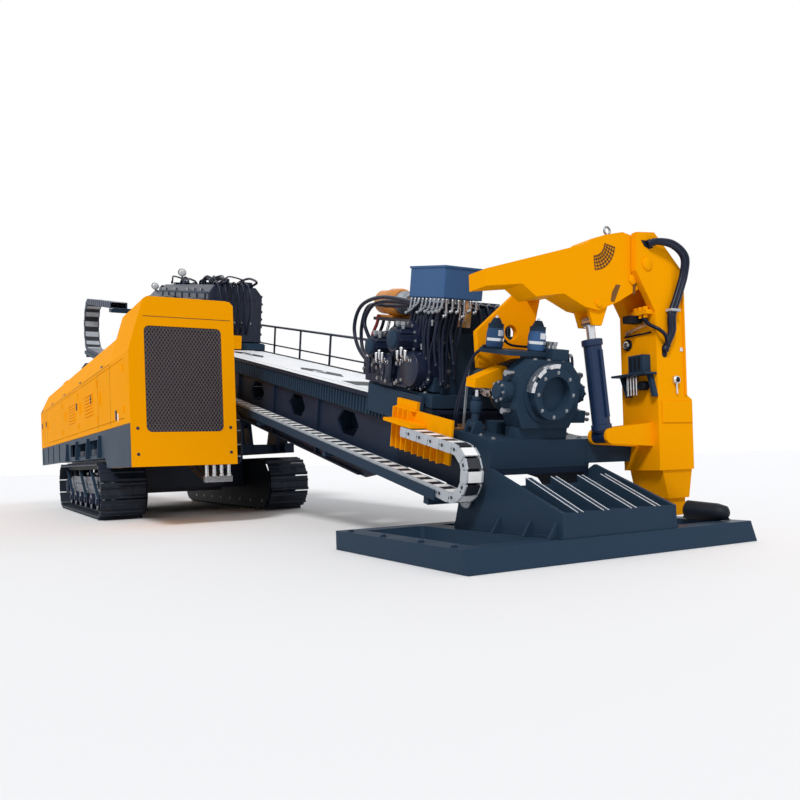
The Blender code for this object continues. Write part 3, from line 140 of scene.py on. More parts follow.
def material(name, colour, rough, metallic=0.0, vary=0.12, scale=3.0, bump=0.0, fine=60.0, dust=0.0,
             coat=0.0, shine=0.5):
    """A painted or bare surface: drifting tone, mottled gloss, fine texture, and dust that settles low."""
    made = bpy.data.materials.new(name)
    made.use_nodes = True
    tree = made.node_tree
    inputs = tree.nodes["Principled BSDF"].inputs
    inputs["Metallic"].default_value = metallic
    inputs["Coat Weight"].default_value = coat
    inputs["Coat Roughness"].default_value = 0.15
    inputs["Specular IOR Level"].default_value = shine
    place = shader_node(tree, "TexCoord").outputs["Object"]

    def noise(size, detail=4.0):
        values = {"Vector": place, "Scale": size, "Detail": detail}
        return shader_node(tree, "TexNoise", values).outputs["Fac"]

    def spread(value, low, high, out_low, out_high):
        ends = {"Value": value, "From Min": low, "From Max": high, "To Min": out_low, "To Max": out_high}
        return shader_node(tree, "MapRange", ends).outputs["Result"]

    def mixed(factor, first, second):
        parts = {"Factor": factor, "A": first, "B": second}
        return shader_node(tree, "Mix", parts, data_type="RGBA").outputs["Result"]

    dark = (*(c * (1 - vary) for c in colour), 1)
    light = (*(min(1.0, c * (1 + vary)) for c in colour), 1)
    tone = mixed(spread(noise(scale), 0.35, 0.65, 0, 1), dark, light)
    if dust:
        height = shader_node(tree, "SeparateXYZ", {0: place}).outputs["Z"]
        settled = spread(height, 0.0, DUST_HEIGHT, dust, 0.0)
        patches = spread(noise(9, 6), 0.38, 0.62, 0, 1)
        share = shader_node(tree, "Math", {0: settled, 1: patches}, operation="MULTIPLY").outputs[0]
        tone = mixed(share, tone, (*DUST_COLOUR, 1))
    gloss = spread(noise(scale * 2.3, 5), 0.3, 0.7, rough * (1 - MOTTLE), min(1.0, rough * (1 + MOTTLE)))
    tree.links.new(tone, inputs["Base Color"])
    tree.links.new(gloss, inputs["Roughness"])
    if bump:
        grain = {"Height": noise(fine, 3), "Strength": bump, "Distance": 0.002}
        tree.links.new(shader_node(tree, "Bump", grain).outputs["Normal"], inputs["Normal"])
    return made


LOOKS = {
    "orange": material("orange_paint", (0.87, 0.335, 0.001), 0.5, vary=0.012, scale=0.9, bump=0.02,
                       shine=0.004),
    "slate": material("slate_paint", (0.021, 0.041, 0.07), 0.46, vary=0.03, scale=0.8, bump=0.03,
                      shine=0.05),
    "black": material("black_paint", (0.009, 0.015, 0.038), 0.36, vary=0.1, bump=0.05, shine=0.35),
    "shade": material("shade_paint", (0.006, 0.009, 0.015), 0.6, vary=0.1, bump=0.05, shine=0.2),
    "night": material("mast_paint", (0.012, 0.021, 0.043), 0.46, vary=0.05, scale=1.0, bump=0.03,
                      shine=0.12),
    "navy": material("navy_paint", (0.01, 0.026, 0.072), 0.4, vary=0.05, scale=1.0, bump=0.03, shine=0.3),
    "blue": material("blue_paint", (0.042, 0.104, 0.235), 0.42, vary=0.03, scale=1.5, bump=0.03, shine=0.08),
    "track_steel": material("track_steel", (0.014, 0.021, 0.036), 0.5, metallic=0.3, vary=0.2, scale=7.0,
                            bump=0.3, dust=0.06, shine=0.3),
    "chain_grey": material("chain_plastic", (0.42, 0.45, 0.49), 0.5, vary=0.06, scale=8.0, bump=0.1),
    "chain_white": material("chain_bars", (0.9, 0.9, 0.9), 0.5, vary=0.03, scale=8.0, bump=0.05),
    "chain_blue": material("chain_band", (0.026, 0.042, 0.08), 0.45, vary=0.08, scale=5.0, bump=0.08,
                           shine=0.15),
    "chain_dark": material("chain_edge", (0.012, 0.015, 0.022), 0.5, vary=0.15, scale=8.0, bump=0.1),
    "bright_steel": material("bright_steel", (0.66, 0.68, 0.71), 0.24, metallic=0.9, vary=0.05, scale=20.0),
    "dull_steel": material("dull_steel", (0.3, 0.32, 0.35), 0.36, metallic=0.85, scale=12.0, bump=0.15),
    "hose": material("hose_rubber", (0.005, 0.009, 0.026), 0.36, scale=30.0, bump=0.1, fine=240.0,
                     shine=0.22),
    "copper": material("ochre_paint", (0.55, 0.19, 0.015), 0.4, vary=0.1, scale=6.0, bump=0.1),
    "red": material("red_hose", (0.3, 0.02, 0.02), 0.45, vary=0.1, scale=9.0, bump=0.1),
    "mesh": material("grille_wire", (0.155, 0.115, 0.095), 0.5, vary=0.05, scale=9.0, shine=0.2),
    "pale": material("pale_deck", (0.72, 0.74, 0.77), 0.5, vary=0.04, scale=1.6, bump=0.05, shine=0.3),
    "white": material("white_label", (0.8, 0.8, 0.78), 0.5, vary=0.02, scale=9.0),
    "lamp_glass": material("lamp_glass", (0.72, 0.74, 0.76), 0.08, vary=0.03, scale=30.0, coat=1.0),
    "seam": material("seam_shadow", (0.15, 0.055, 0.003), 0.7, vary=0.1, scale=10.0),
}
OWN_LOOK = {"mast_beam": "night", "main_frame": "night", "luff_barrel": "navy"}
SLOT_OF_NODE = {row["node"]: row["material_slot"] for row in frame["record"]["subparts"]}
for node, own_slot in SLOT_OF_NODE.items():
    solid = bpy.data.objects.get(node)
    if solid:
        for slot in solid.material_slots:
            slot.material = LOOKS[OWN_LOOK.get(node, own_slot)]


# Points and outlines


def polar(radius, angle):
    return radius * cos(angle), radius * sin(angle)


def circle(count, radius, first=0.0):
    return [polar(radius, first + tau * i / count) for i in range(count)]


def arc(centre, radius, start, end, steps):
    """Points on an arc with both its ends, its angles in degrees."""
    turns = [polar(radius, radians(start + (end - start) * i / steps)) for i in range(steps + 1)]
    return [(centre[0] + a, centre[1] + b) for a, b in turns]


def round_ring(centre, side, other, radius, sides):
    turns = [tau * i / sides for i in range(sides)]
    return [centre + (side * cos(a) + other * sin(a)) * radius for a in turns]


def standing(along, out, at):
    """A frame with x along a loop's run, z outwards from it and y across."""
    return Matrix(((along.x, 0, out.x, at.x), (0, 1, 0, at.y), (along.z, 0, out.z, at.z), (0, 0, 0, 1)))


def smooth_route(points, steps):
    """Points on a smooth cubic curve through the given ones."""
    ends = [points[0] * 2 - points[1], *points, points[-1] * 2 - points[-2]]
    route = []
    for a, b, c, d in zip(ends, ends[1:], ends[2:], ends[3:]):
        for i in range(steps):
            t = i / steps
            cubic = (3 * b - a - 3 * c + d) * t ** 3
            route.append(0.5 * (2 * b + (c - a) * t + (2 * a - 5 * b + 4 * c - d) * t * t + cubic))
    route.append(points[-1])
    return route


# Mesh building

BOX_FACES = ((0, 1, 3, 2), (4, 6, 7, 5), (0, 4, 5, 1), (2, 3, 7, 6), (0, 2, 6, 4), (1, 5, 7, 3))
COLLAR = ((0, 1.1), (0.1, 1.45), (0.45, 1.45), (0.5, 1.25), (1, 1.25))  # a hose's end, in its own radii


def placed(name, mesh, body, bevel, segments, corner, replaced):
    """The mesh as a piece that rides a body, its edges bevelled where they turn past the corner angle."""
    piece = bpy.data.objects.new(name, mesh)
    SCENE.collection.objects.link(piece)
    if bevel:
        edge = piece.modifiers.new("bevel", "BEVEL")
        edge.width = bevel
        edge.segments = segments
        edge.limit_method = "ANGLE"
        edge.angle_limit = radians(corner)
        edge.harden_normals = True
    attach(piece, body)
    if replaced:
        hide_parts(*replaced)


class Builder:
    """Gathers shapes in one frame of coordinates and makes one piece of them."""

    def __init__(self, name, body, look, matrix=MAST):
        self.name, self.body, self.look, self.matrix = name, body, look, matrix
        self.verts, self.faces = [], []

    def add(self, verts, faces):
        base = len(self.verts)
        self.verts += [tuple(v) for v in verts]
        self.faces += [tuple(base + i for i in face) for face in faces]

    def box(self, x, y, z, matrix=None):
        corners = [Vector((a, b, c)) for a in x for b in y for c in z]
        if matrix:
            corners = [matrix @ corner for corner in corners]
        self.add(corners, BOX_FACES)

    def rings(self, rings, closed=False):
        """Rings of points joined into a skin, with flat ends unless the rings close on themselves."""
        count, total = len(rings[0]), len(rings)
        faces = []
        for r in range(total if closed else total - 1):
            a, b = r * count, (r + 1) % total * count
            for i in range(count):
                j = (i + 1) % count
                faces.append((a + i, a + j, b + j, b + i))
        if not closed:
            faces.append(tuple(range(count))[::-1])
            faces.append(tuple(range((total - 1) * count, total * count)))
        self.add([v for ring in rings for v in ring], faces)

    def slab(self, place, outline, span):
        """An outline in the x and z of a frame, extruded across a span of its y."""
        self.rings([[place @ Vector((a, y, b)) for a, b in outline] for y in span])

    def prism(self, axis, span, outline):
        """An outline in the two other axes, in their order, extruded across a span of one axis."""
        def point(a, b, c):
            return {"x": (c, a, b), "y": (a, c, b), "z": (a, b, c)}[axis]
        self.rings([[point(a, b, c) for a, b in outline] for c in span])

    def turned(self, start, end, profile, sides=20):
        """A turned shape between two points: profile rows are (part of the way, radius)."""
        start, end = Vector(start), Vector(end)
        along = end - start
        side = along.orthogonal().normalized()
        other = along.cross(side).normalized()
        rows = [(start + along * part, radius) for part, radius in profile]
        self.rings([round_ring(centre, side, other, radius, sides) for centre, radius in rows])

    def cylinder(self, start, end, radius, sides=20, edge=0.0):
        profile = [(0, radius), (1, radius)]
        if edge:
            e = min(0.45, edge / (Vector(end) - Vector(start)).length)
            profile = [(0, radius - edge), (e, radius), (1 - e, radius), (1, radius - edge)]
        self.turned(start, end, profile, sides)

    def cone(self, start, end, radius, end_radius, sides):
        """A round shape whose radius changes from one end to the other."""
        self.turned(start, end, [(0, radius), (1, end_radius)], sides)

    def cap(self, start, end, wide, narrow, sides=24, shoulder=0.7):
        """A plug that narrows past its shoulder."""
        self.turned(start, end, [(0, wide), (shoulder, wide), (1, narrow)], sides)

    def collar(self, start, end, first, wide, last, sides=24):
        """A band with a small chamfer at each end."""
        self.turned(start, end, [(0, first), (0.1, wide), (0.9, wide), (1, last)], sides)

    def fitting(self, start, end, inner, outer, sides=6):
        """A stub with one radius on its inner half and another on its outer half."""
        self.turned(start, end, [(0, inner), (0.5, inner), (0.55, outer), (1, outer)], sides)

    def bolt(self, at, normal, radius=0.014, high=0.012):
        """A hexagonal head on a washer."""
        at, normal = Vector(at), Vector(normal).normalized()
        self.turned(at, at + normal * high * 0.25, [(0, radius * 1.5), (1, radius * 1.5)], 12)
        head = [(0, radius), (0.8, radius), (1, radius * 0.8)]
        self.turned(at + normal * high * 0.2, at + normal * high, head, 6)

    def bolt_circle(self, centre, normal, ring, count, radius):
        """Bolts round a centre, on a face that looks along x or y."""
        x, y, z = centre
        for a, b in circle(count, ring):
            self.bolt((x, y + a, z + b) if normal[0] else (x + a, y, z + b), normal, radius)

    def bolt_grid(self, xs, ys, zs, normal, radius, high=0.012):
        """Bolts at all the places that the three rows of coordinates give."""
        for at in ((x, y, z) for x in xs for y in ys for z in zs):
            self.bolt(at, normal, radius, high)

    def hose(self, points, radius, sides=10, steps=8):
        """A smooth hose through its points, with a crimped collar at each end."""
        route = smooth_route([Vector(p) for p in points], steps)
        rings = []
        side = (route[1] - route[0]).normalized().orthogonal().normalized()
        for i, centre in enumerate(route):
            along = (route[min(i + 1, len(route) - 1)] - route[max(i - 1, 0)]).normalized()
            side = (side - along * side.dot(along)).normalized()
            rings.append(round_ring(centre, side, along.cross(side), radius, sides))
        self.rings(rings)
        for end, after in ((route[0], route[1]), (route[-1], route[-2])):
            way = (after - end).normalized()
            collar = [(part, radius * size) for part, size in COLLAR]
            self.turned(end - way * 0.005, end + way * radius * 2.6, collar, 10)

    def make(self, bevel=0.0, segments=2, smooth=35, replaced=()):
        mesh = bpy.data.meshes.new(self.name)
        mesh.from_pydata([self.matrix @ Vector(v) for v in self.verts], [], self.faces)
        shape = bmesh.new()
        shape.from_mesh(mesh)
        bmesh.ops.recalc_face_normals(shape, faces=shape.faces)
        shape.to_mesh(mesh)
        shape.free()
        mesh.materials.append(LOOKS[self.look])
        mesh.shade_smooth()
        mesh.set_sharp_from_angle(angle=radians(smooth))
        placed(self.name, mesh, self.body, bevel, segments, 40, replaced)


def builders(body, matrix=MAST, **looks):
    """A builder for each piece that is named, all on one body and in one frame of coordinates."""
    return [Builder(name, body, look, matrix) for name, look in looks.items()]


def softened(node, body, width):
    """A CAD node with its edges rounded, standing in for it."""
    shape = bmesh.new()
    shape.from_mesh(bpy.data.objects[node].data)
    bmesh.ops.remove_doubles(shape, verts=shape.verts, dist=0.0002)
    bmesh.ops.dissolve_limit(shape, angle_limit=radians(1), verts=shape.verts, edges=shape.edges)
    mesh = bpy.data.meshes.new(f"{node}_soft")
    shape.to_mesh(mesh)
    shape.free()
    slot = SLOT_OF_NODE[node]
    mesh.materials.clear()
    mesh.materials.append(LOOKS[slot])
    for polygon in mesh.polygons:
        polygon.material_index = 0
    mesh.shade_smooth()
    mesh.set_sharp_from_angle(angle=radians(32))
    placed(f"{node}_soft", mesh, body, width, 2, 30, (node,))


def span(sign, a, b, middle=0.0):
    """A span on one side of a middle, in rising order."""
    return sorted((middle + sign * a, middle + sign * b))


# Tracks

TRACKS = (("right", -1.72), ("left", 0.95))
TRACK_REAR, TRACK_FRONT, TRACK_HIGH = -4.13, 0.57, 0.45
SHOE_LOOP = 0.3925
SHOES = 48


def loop_point(distance):
    """A point and its direction outwards on the shoes' loop, by distance from the bottom rear."""
    straight, bend = TRACK_FRONT - TRACK_REAR, pi * SHOE_LOOP
    if distance < straight:
        return Vector((TRACK_REAR + distance, 0, TRACK_HIGH - SHOE_LOOP)), Vector((0, 0, -1))
    if distance < straight + bend:
        x, angle = TRACK_FRONT, (distance - straight) / SHOE_LOOP - pi / 2
    elif distance < 2 * straight + bend:
        x = TRACK_FRONT - (distance - straight - bend)
        return Vector((x, 0, TRACK_HIGH + SHOE_LOOP)), Vector((0, 0, 1))
    else:
        x, angle = TRACK_REAR, (distance - 2 * straight - bend) / SHOE_LOOP + pi / 2
    out = Vector((cos(angle), 0, sin(angle)))
    return Vector((x, 0, TRACK_HIGH)) + out * SHOE_LOOP, out


def crawler(side, y):
    """Shoes with two grousers each, on two rows of links."""
    shoes = Builder(f"shoes_{side}", "chassis", "track_steel", WORLD)
    pitch = 2 * (TRACK_FRONT - TRACK_REAR + pi * SHOE_LOOP) / SHOES
    half = pitch * 0.485
    plate = [(-half, 0.0), (-half, 0.014), (-half + 0.02, 0.048), (-half + 0.034, 0.048),
             (-half + 0.05, 0.016), (0.03, 0.016), (0.045, 0.034), (0.058, 0.034), (0.072, 0.016),
             (half, 0.012), (half, 0.0)]
    link = [(-half * 1.05, -0.015), (-half * 0.7, 0.004), (half * 0.7, 0.004), (half * 1.05, -0.015),
            (half * 0.9, -0.065), (-half * 0.9, -0.065)]
    for i in range(SHOES):
        centre, out = loop_point((i + 0.5) * pitch)
        place = standing(Vector((-out.z, 0, out.x)), out, centre + Vector((0, y, 0)))
        shoes.slab(place, plate, (-0.33, 0.33))
        for across in (-0.085, 0.085):
            shoes.slab(place, link, (across - 0.022, across + 0.022))
        shoes.cylinder(place @ Vector((half, -0.125, -0.04)), place @ Vector((half, 0.125, -0.04)), 0.02, 8)
        for a in (-0.045, 0.012):
            for across in (-0.13, 0.13):
                spot = place @ Vector((a, across, 0.014))
                shoes.cone(spot, spot + out * 0.012, 0.015, 0.013, 6)
    shoes.make(replaced=(f"track_{side}",))


def undercarriage_trim():
    """Hubs, roller caps, ledges and bolts on the track frames, their guards, and the skirt's braces."""
    trim, dark, guard, bolts, braces = builders(
        "chassis", WORLD, wheel_trim="night", frame_trim="black", track_guards="shade",
        guard_bolts="bright_steel", step_braces="slate")
    for _, y in TRACKS:
        for sign in (-1, 1):
            hub = (TRACK_REAR, y + sign * 0.205, TRACK_HIGH), (TRACK_REAR, y + sign * 0.235, TRACK_HIGH)
            trim.turned(*hub, [(0, 0.17), (0.5, 0.17), (0.7, 0.14), (1, 0.13)], 28)
            trim.bolt_circle((TRACK_REAR, y + sign * 0.233, TRACK_HIGH), (0, sign, 0), 0.115, 10, 0.011)
            idler = (TRACK_FRONT, y + sign * 0.175, TRACK_HIGH), (TRACK_FRONT, y + sign * 0.225, TRACK_HIGH)
            trim.cap(*idler, 0.09, 0.075, shoulder=0.8)
            for i in range(6):
                x = -3.38 + 3.35 * i / 5
                trim.cap((x, y + sign * 0.2402, 0.25), (x, y + sign * 0.262, 0.25), 0.055, 0.045, 14)
            dark.box((-3.6, 0.2), span(sign, 0.2, 0.222, y), (0.395, 0.415))
            dark.box((-3.2, -0.1), span(sign, 0.2, 0.212, y), (0.46, 0.6))
            for i in range(9):
                dark.bolt((-3.1 + 2.9 * i / 8, y + sign * 0.212, 0.53), (0, sign, 0), 0.013)
        for x in (-3.0, -1.9, -0.8):
            for across in (-0.07, 0.07):
                dark.cylinder((x - 0.1, y + across, 0.7), (x + 0.1, y + across, 0.7), 0.052, 14, 0.006)
    outline = arc((TRACK_FRONT, TRACK_HIGH), 0.4, -90, 90, 10)
    outline += arc((TRACK_REAR, TRACK_HIGH), 0.4, 90, 270, 10)
    for (_, y), side in zip(TRACKS, (1, -1)):
        guard.prism("y", span(side, 0.345, 0.357, y), outline)
        for i in range(8):
            bolts.bolt((-3.6 + 0.6 * i, y + side * 0.357, 0.16), (0, side, 0), 0.016)
    guard.make()
    bolts.make()
    for x in (-3.75, -1.9, -0.55):
        braces.prism("y", (-1.99, -1.945), [(x, 0.78), (x + 0.04, 0.78), (x + 0.75, 0.31), (x + 0.7, 0.31)])
    braces.make(bevel=0.003, segments=1)
    trim.make()
    dark.make(bevel=0.003, segments=1)


# Engine house

FLANK = -1.9903  # the house's right face


def hood_front():
    """The grille's diamond mesh, the round corners of its opening, bolts and the cap's seam."""
    mesh, edge, trim, seam, lip = builders(
        "chassis", WORLD, grille_mesh="mesh", grille_corners="orange", hood_bolts="black",
        cap_seam="seam", cap_lip="orange")
    y0, y1, z0, z1 = -1.785, -0.795, 1.245, 2.595
    pitch, x, half, deep = 0.044, 3.109, 0.003, Vector((0.003, 0, 0))
    reach = (z1 - z0) * 0.66
    for sign in (-1, 1):
        for i in range(int((y1 - y0 + reach) / pitch) + 1):
            a = y0 + i * pitch - (reach if sign > 0 else 0)
            b = a + reach * sign
            low, high = max(min(a, b), y0), min(max(a, b), y1)
            if high - low < 0.01:
                continue
            ends = [Vector((x + sign * 0.002, y, z0 + (y - a) / (b - a) * (z1 - z0))) for y in (low, high)]
            side = (ends[1] - ends[0]).normalized().cross(Vector((1, 0, 0))) * half
            mesh.rings([[p + side - deep, p + side + deep, p - side + deep, p - side - deep] for p in ends])
    mesh.make()
    for sy, sz, first in ((1, 1, 0), (-1, 1, 90), (-1, -1, 180), (1, -1, 270)):
        y, z = -1.29 + sy * 0.5, 1.92 + sz * 0.68
        bend, tip = (arc((y - sy * r, z - sz * r), r, first, first + 90, 6) for r in (0.07, 0.0005))
        edge.prism("x", (3.085, 3.1198), [*bend, tip[0]])
    edge.make(smooth=50)
    trim.bolt_grid((3.12,), (-1.9, -0.7), (1.29, 0.96), (1, 0, 0), 0.014)
    trim.make(bevel=0.003)
    seam.box((3.119, 3.1215), (-1.8, -0.66), (2.715, 2.724))
    seam.make()
    lip.box((1.74, 3.121), (-1.745, -0.7), (2.9505, 2.978))
    lip.make(bevel=0.008)


def flank():
    """Seams, handles and catches along the right flank, and the roof's seams, vents, eyes and box."""
    seam, skirt, label, trim, lift = builders(
        "chassis", WORLD, panel_seams="seam", hood_skirt="slate", blank_label="white", flank_trim="black",
        roof_eyes="orange")
    skin = (FLANK - 0.0015, FLANK + 0.001)
    for x in (-8.35, -7.9, -7.42, 0.57, 1.7):
        seam.box((x - 0.004, x + 0.004), skin, (1.4, 2.26))
    seam.box((-8.95, 1.7), skin, (2.262, 2.268))
    for x in (-7.5, -6.0, -4.0, -2.0, -0.62, 0.6, 1.715):
        seam.box((x - 0.004, x + 0.004), (-1.7, -0.66 if x > -0.6 else -1.16), (2.7398, 2.7415))
    seam.box((1.72, 3.12), skin, (1.353, 1.362))
    seam.make()
    skirt.box((1.712, 3.121), (FLANK - 0.004, FLANK + 0.001), (0.802, 1.352))
    skirt.make(bevel=0.002, segments=1)
    label.box((2.22, 2.3), (FLANK - 0.001, FLANK + 0.001), (1.43, 1.53))
    label.make()
    for x, z in ((-8.6, 1.85), (-7.6, 1.85), (-1.9, 1.86), (-0.15, 1.85), (2.14, 1.45)):
        trim.box((x, x + 0.05), (FLANK - 0.016, FLANK), (z, z + 0.13))
    for x in (-8.7, -6.3, -3.9, -1.5, 0.9):
        trim.box((x, x + 0.14), (FLANK + 0.002, FLANK + 0.016), (2.3, 2.328))
    for x in (-8.2, -5.5, -2.8, -0.1):
        trim.cylinder((x, -1.45, 2.741), (x, -1.45, 2.8), 0.05, 16, 0.01)
        trim.cone((x, -1.45, 2.8), (x, -1.45, 2.825), 0.06, 0.045, 16)
    trim.make(bevel=0.004)
    eyes = (((-8.5, -4.8, -1.0), 2.738, 2.8, -1.31), ((2.05, 2.75), 2.968, 3.01, -1.2))
    for spots, low, high, y in eyes:
        for x in spots:
            arch = [(x - 0.06, low), *arc((x, high), 0.045, 180, 0, 8), (x + 0.06, low)]
            lift.prism("y", (y, y + 0.02), arch)
    lift.box((-6.9, -6.2), (-1.66, -1.24), (2.739, 2.86))
    lift.make(bevel=0.01, segments=3)


def louvres():
    """Hinges, catches and vent louvres on the flank's doors: each rides with its door."""
    for number, rear, front in ((1, 0.62, 2.72), (2, -1.58, 0.52), (3, -3.78, -1.68), (4, -7.3, -4.1)):
        trim = Builder(f"door_trim_{number}", f"side_door_{number}", "orange", WORLD)
        hinge = front - 0.012
        for z in (1.56, 2.1):
            trim.cylinder((hinge, -1.996, z - 0.05), (hinge, -1.996, z + 0.05), 0.01, 12, 0.002)
            trim.box((front - 0.09, front - 0.014), (-1.995, -1.99), (z - 0.04, z + 0.04))
        trim.box((rear + 0.1, rear + 0.2), (-1.996, -1.99), (1.75, 1.97))
        trim.make(bevel=0.003)
        if number in (2, 3):
            vents = Builder(f"door_vents_{number}", f"side_door_{number}", "orange", WORLD)
            for i in range(7):
                z = 1.66 + 0.055 * i
                blade = [(-1.9895, z), (-2.004, z + 0.006), (-1.9895, z + 0.036)]
                vents.prism("x", (rear + 0.75, front - 0.45), blade)
            vents.make()


def skirt_trim():
    """Gussets over the right track, connectors and lines at the hood, and a dark strip behind the skirt that
    is painted shade.
    """
    gusset, block, lines, liner = builders(
        "chassis", WORLD, skirt_gussets="slate", hood_manifold="bright_steel", hood_lines="hose",
        skirt_liner="shade")
    for x in (-3.45, -1.98, -0.6, 0.66):
        gusset.prism("x", (x, x + 0.03), [(-1.986, 0.955), (-1.986, 1.3), (-2.02, 1.3), (-2.045, 0.955)])
    for x in (-8.6, -7.4, -6.2, -5.0):
        gusset.box((x, x + 0.05), (-1.998, -1.984), (0.96, 1.33))
    gusset.make(bevel=0.004, segments=1)
    block.box((2.9, 3.02), (-1.03, -0.665), (0.565, 0.645))
    plug = [(0, 0.027), (0.2, 0.027), (0.22, 0.022), (1, 0.022)]
    for i in range(4):
        y = -0.995 + 0.1 * i
        block.turned((2.96, y, 0.64), (2.96, y, 0.799), plug, 14)
    block.make(bevel=0.004, segments=1)
    for i in range(4):
        y = -0.98 + 0.09 * i
        lines.hose([(2.905, y, 0.6), (2.82, y, 0.6), (2.6, y + 0.01, 0.62), (2.2, y + 0.02, 0.72),
                    (1.9, y, 0.82)], 0.017)
    for i in range(3):
        y = -0.72 + 0.05 * i
        lines.hose([(1.85, y, 0.95), (1.7, y + 0.02, 0.78), (1.35, y + 0.3, 0.72), (0.9, y + 0.5, 0.8),
                    (0.5, y + 0.55, 0.93)], 0.02)
    lines.make()
    hose_ladder()
    # a dark strip behind the skirt, over the shoes: painted shade, so that the floor does not show through
    # under the house there
    liner.box((-4.4, 1.9), (-1.9, -1.87), (0.788, 0.92))
    liner.make()


def hose_ladder():
    """A standing loop of chain links beside the hood: two bends, two straights and its bars."""
    ladder, bars = builders("chassis", WORLD, hose_carrier="chain_blue", hose_carrier_bars="chain_grey")
    x, z, straight, bend = 2.25, 1.17, 0.16, 0.17
    for i in range(18):
        t = radians(180 * (i % 9 + 0.5) / 9)
        over = 1 if i < 9 else -1
        centre = Vector((x + bend * cos(t) * over, -0.45, z + over * (straight + bend * sin(t))))
        turn = Matrix.Translation(centre) @ Matrix.Rotation(over * pi / 2 - t, 4, "Y")
        for v in (-0.125, 0.105):
            ladder.box((-0.034, 0.034), (v, v + 0.02), (-0.036, 0.036), turn)
        if i % 3 == 1:
            bars.box((-0.01, 0.01), (-0.105, 0.105), (0.02, 0.034), turn)
    for a in (x - bend, x + bend):
        for v in (-0.575, -0.345):
            ladder.box((a - 0.036, a + 0.036), (v, v + 0.02), (z - straight, z + straight))
        for low in (1.07, 1.27):
            bars.box((a - 0.03, a + 0.03), (-0.555, -0.345), (low, low + 0.018))
    ladder.make(bevel=0.003, segments=1)
    bars.make(bevel=0.003, segments=1)


# Mast


def mast_rack():
    """Racks along both webs: a dark bar with slate teeth."""
    for sign, name in ((-1, "right"), (1, "left")):
        bar = Builder(f"rack_bar_{name}", "mast", "shade")
        bar.box((-8.25, 7.28), span(sign, 0.5501, 0.575), (-0.23, -0.032))
        bar.make(bevel=0.003, segments=1)
        teeth = Builder(f"rack_teeth_{name}", "mast", "slate")
        for i in range(200):
            u = -8.2 + 0.077 * i
            tooth = [(u, -0.215), (u + 0.01, -0.04), (u + 0.034, -0.04), (u + 0.044, -0.215)]
            teeth.prism("y", span(sign, 0.5745, 0.594), tooth)
        teeth.make()


def deck_trim():
    """The deck's pale plates with their dark pockets and edge strips, its bolts, and the webs' ribs."""
    pale, dark, heads, ribs = builders(
        "mast", deck_plates="pale", deck_pockets="shade", deck_bolts="dull_steel", web_ribs="night")
    for i in range(10):
        u = -8.36 + 1.55 * i
        along = (u, min(u + 1.544, 7.32))
        pale.box(along, (-0.39, 0.39), (-0.001, 0.008))
        for lane in ((-0.592, -0.39), (0.39, 0.563)):
            pale.box(along, lane, (-0.001, 0.0002))
    for v in (-0.598, 0.563, 0.585):
        dark.box((-8.36, 7.32), (v, v + 0.01), (0.0002, 0.016))
    for u in (-6.4, -3.3, -0.2, 2.9):
        pocket = [(u, -0.1), (u + 0.3, -0.22), (u + 1.35, -0.05), (u + 0.95, 0.1), (u + 0.25, 0.02)]
        dark.prism("z", (0.008, 0.0095), pocket)
        pale.cylinder((u + 0.62, -0.07, 0.0094), (u + 0.62, -0.07, 0.011), 0.1, 24)
        dark.cylinder((u + 0.62, -0.07, 0.0108), (u + 0.62, -0.07, 0.012), 0.055, 24)
    for u in (4.72, -7.7):
        dark.prism("z", (0.008, 0.0092), [(u, -0.3), (u + 0.5, -0.34), (u + 0.62, 0.02), (u + 0.12, 0.05)])
    pale.make()
    dark.make()
    heads.bolt_grid([-8.1 + 0.39 * i for i in range(40)], (-0.578, 0.578), (0.0002,), (0, 0, 1), 0.012)
    heads.make()
    for sign in (-1, 1):
        for i in range(9):
            u = -7.75 + 1.55 * i
            ribs.box((u, u + 0.03), span(sign, 0.55, 0.585), (-0.9, -0.17))
        ribs.box((-7.5, 5.9), span(sign, 0.55, 0.6), (-0.915, -0.89))
    ribs.make(bevel=0.004, segments=1)


def round_railing():
    """Posts, rails and end bends as round tubes with feet, and the walkway's grating."""
    rail, grid = builders("mast", round_railing="black", walk_grating="black")
    v, low, rear, front, top = 0.99, -0.58, -7.7, 4.1, 0.45

    def pipe(points, radius):
        rings = []
        for i, p in enumerate(points):
            ahead = Vector(points[min(i + 1, len(points) - 1)]) - Vector(points[max(i - 1, 0)])
            side = Vector((0, 1, 0))
            rings.append(round_ring(Vector(p), side, ahead.normalized().cross(side), radius, 12))
        rail.rings(rings)

    pipe([(rear, v, low), (rear, v, top - 0.12), (rear + 0.03, v, top - 0.03), (rear + 0.12, v, top),
          (front - 0.4, v, top), (front - 0.2, v, top - 0.03), (front - 0.05, v, top - 0.12),
          (front, v, top - 0.28), (front, v, low)], 0.021)
    for height in ((low + top) / 2, 0.1):
        pipe([(rear, v, height), (front, v, height)], 0.014)
    for i in range(10):
        u = rear + (front - rear) * i / 9
        if 0 < i < 9:
            pipe([(u, v, low), (u, v, top)], 0.019)
        rail.box((u - 0.05, u + 0.05), (v - 0.022, v + 0.022), (low, low + 0.012))
    rail.make(replaced=("railing",))
    for i in range(122):
        u = -7.78 + 0.1 * i
        grid.box((u, u + 0.02), (0.57, 0.955), (-0.5798, -0.568))
    for v in (0.6, 0.72, 0.84, 0.94):
        grid.box((-7.78, 4.55), (v, v + 0.008), (-0.5798, -0.57))
    grid.make()


# Energy chains: each starts on its upper run, turns round its bend and ends on its lower run

FRONT_CHAIN = {"v": (-0.84, -0.67), "start": 7.2, "turn": 8.34, "end": 1.4, "top": -0.156, "low": -0.683,
               "depth": 0.11}
REAR_CHAIN = {"v": (-1.5, -1.14), "start": -4.6, "turn": -8.62, "end": -5.6, "top": 0.7, "low": -0.7,
              "depth": 0.16}


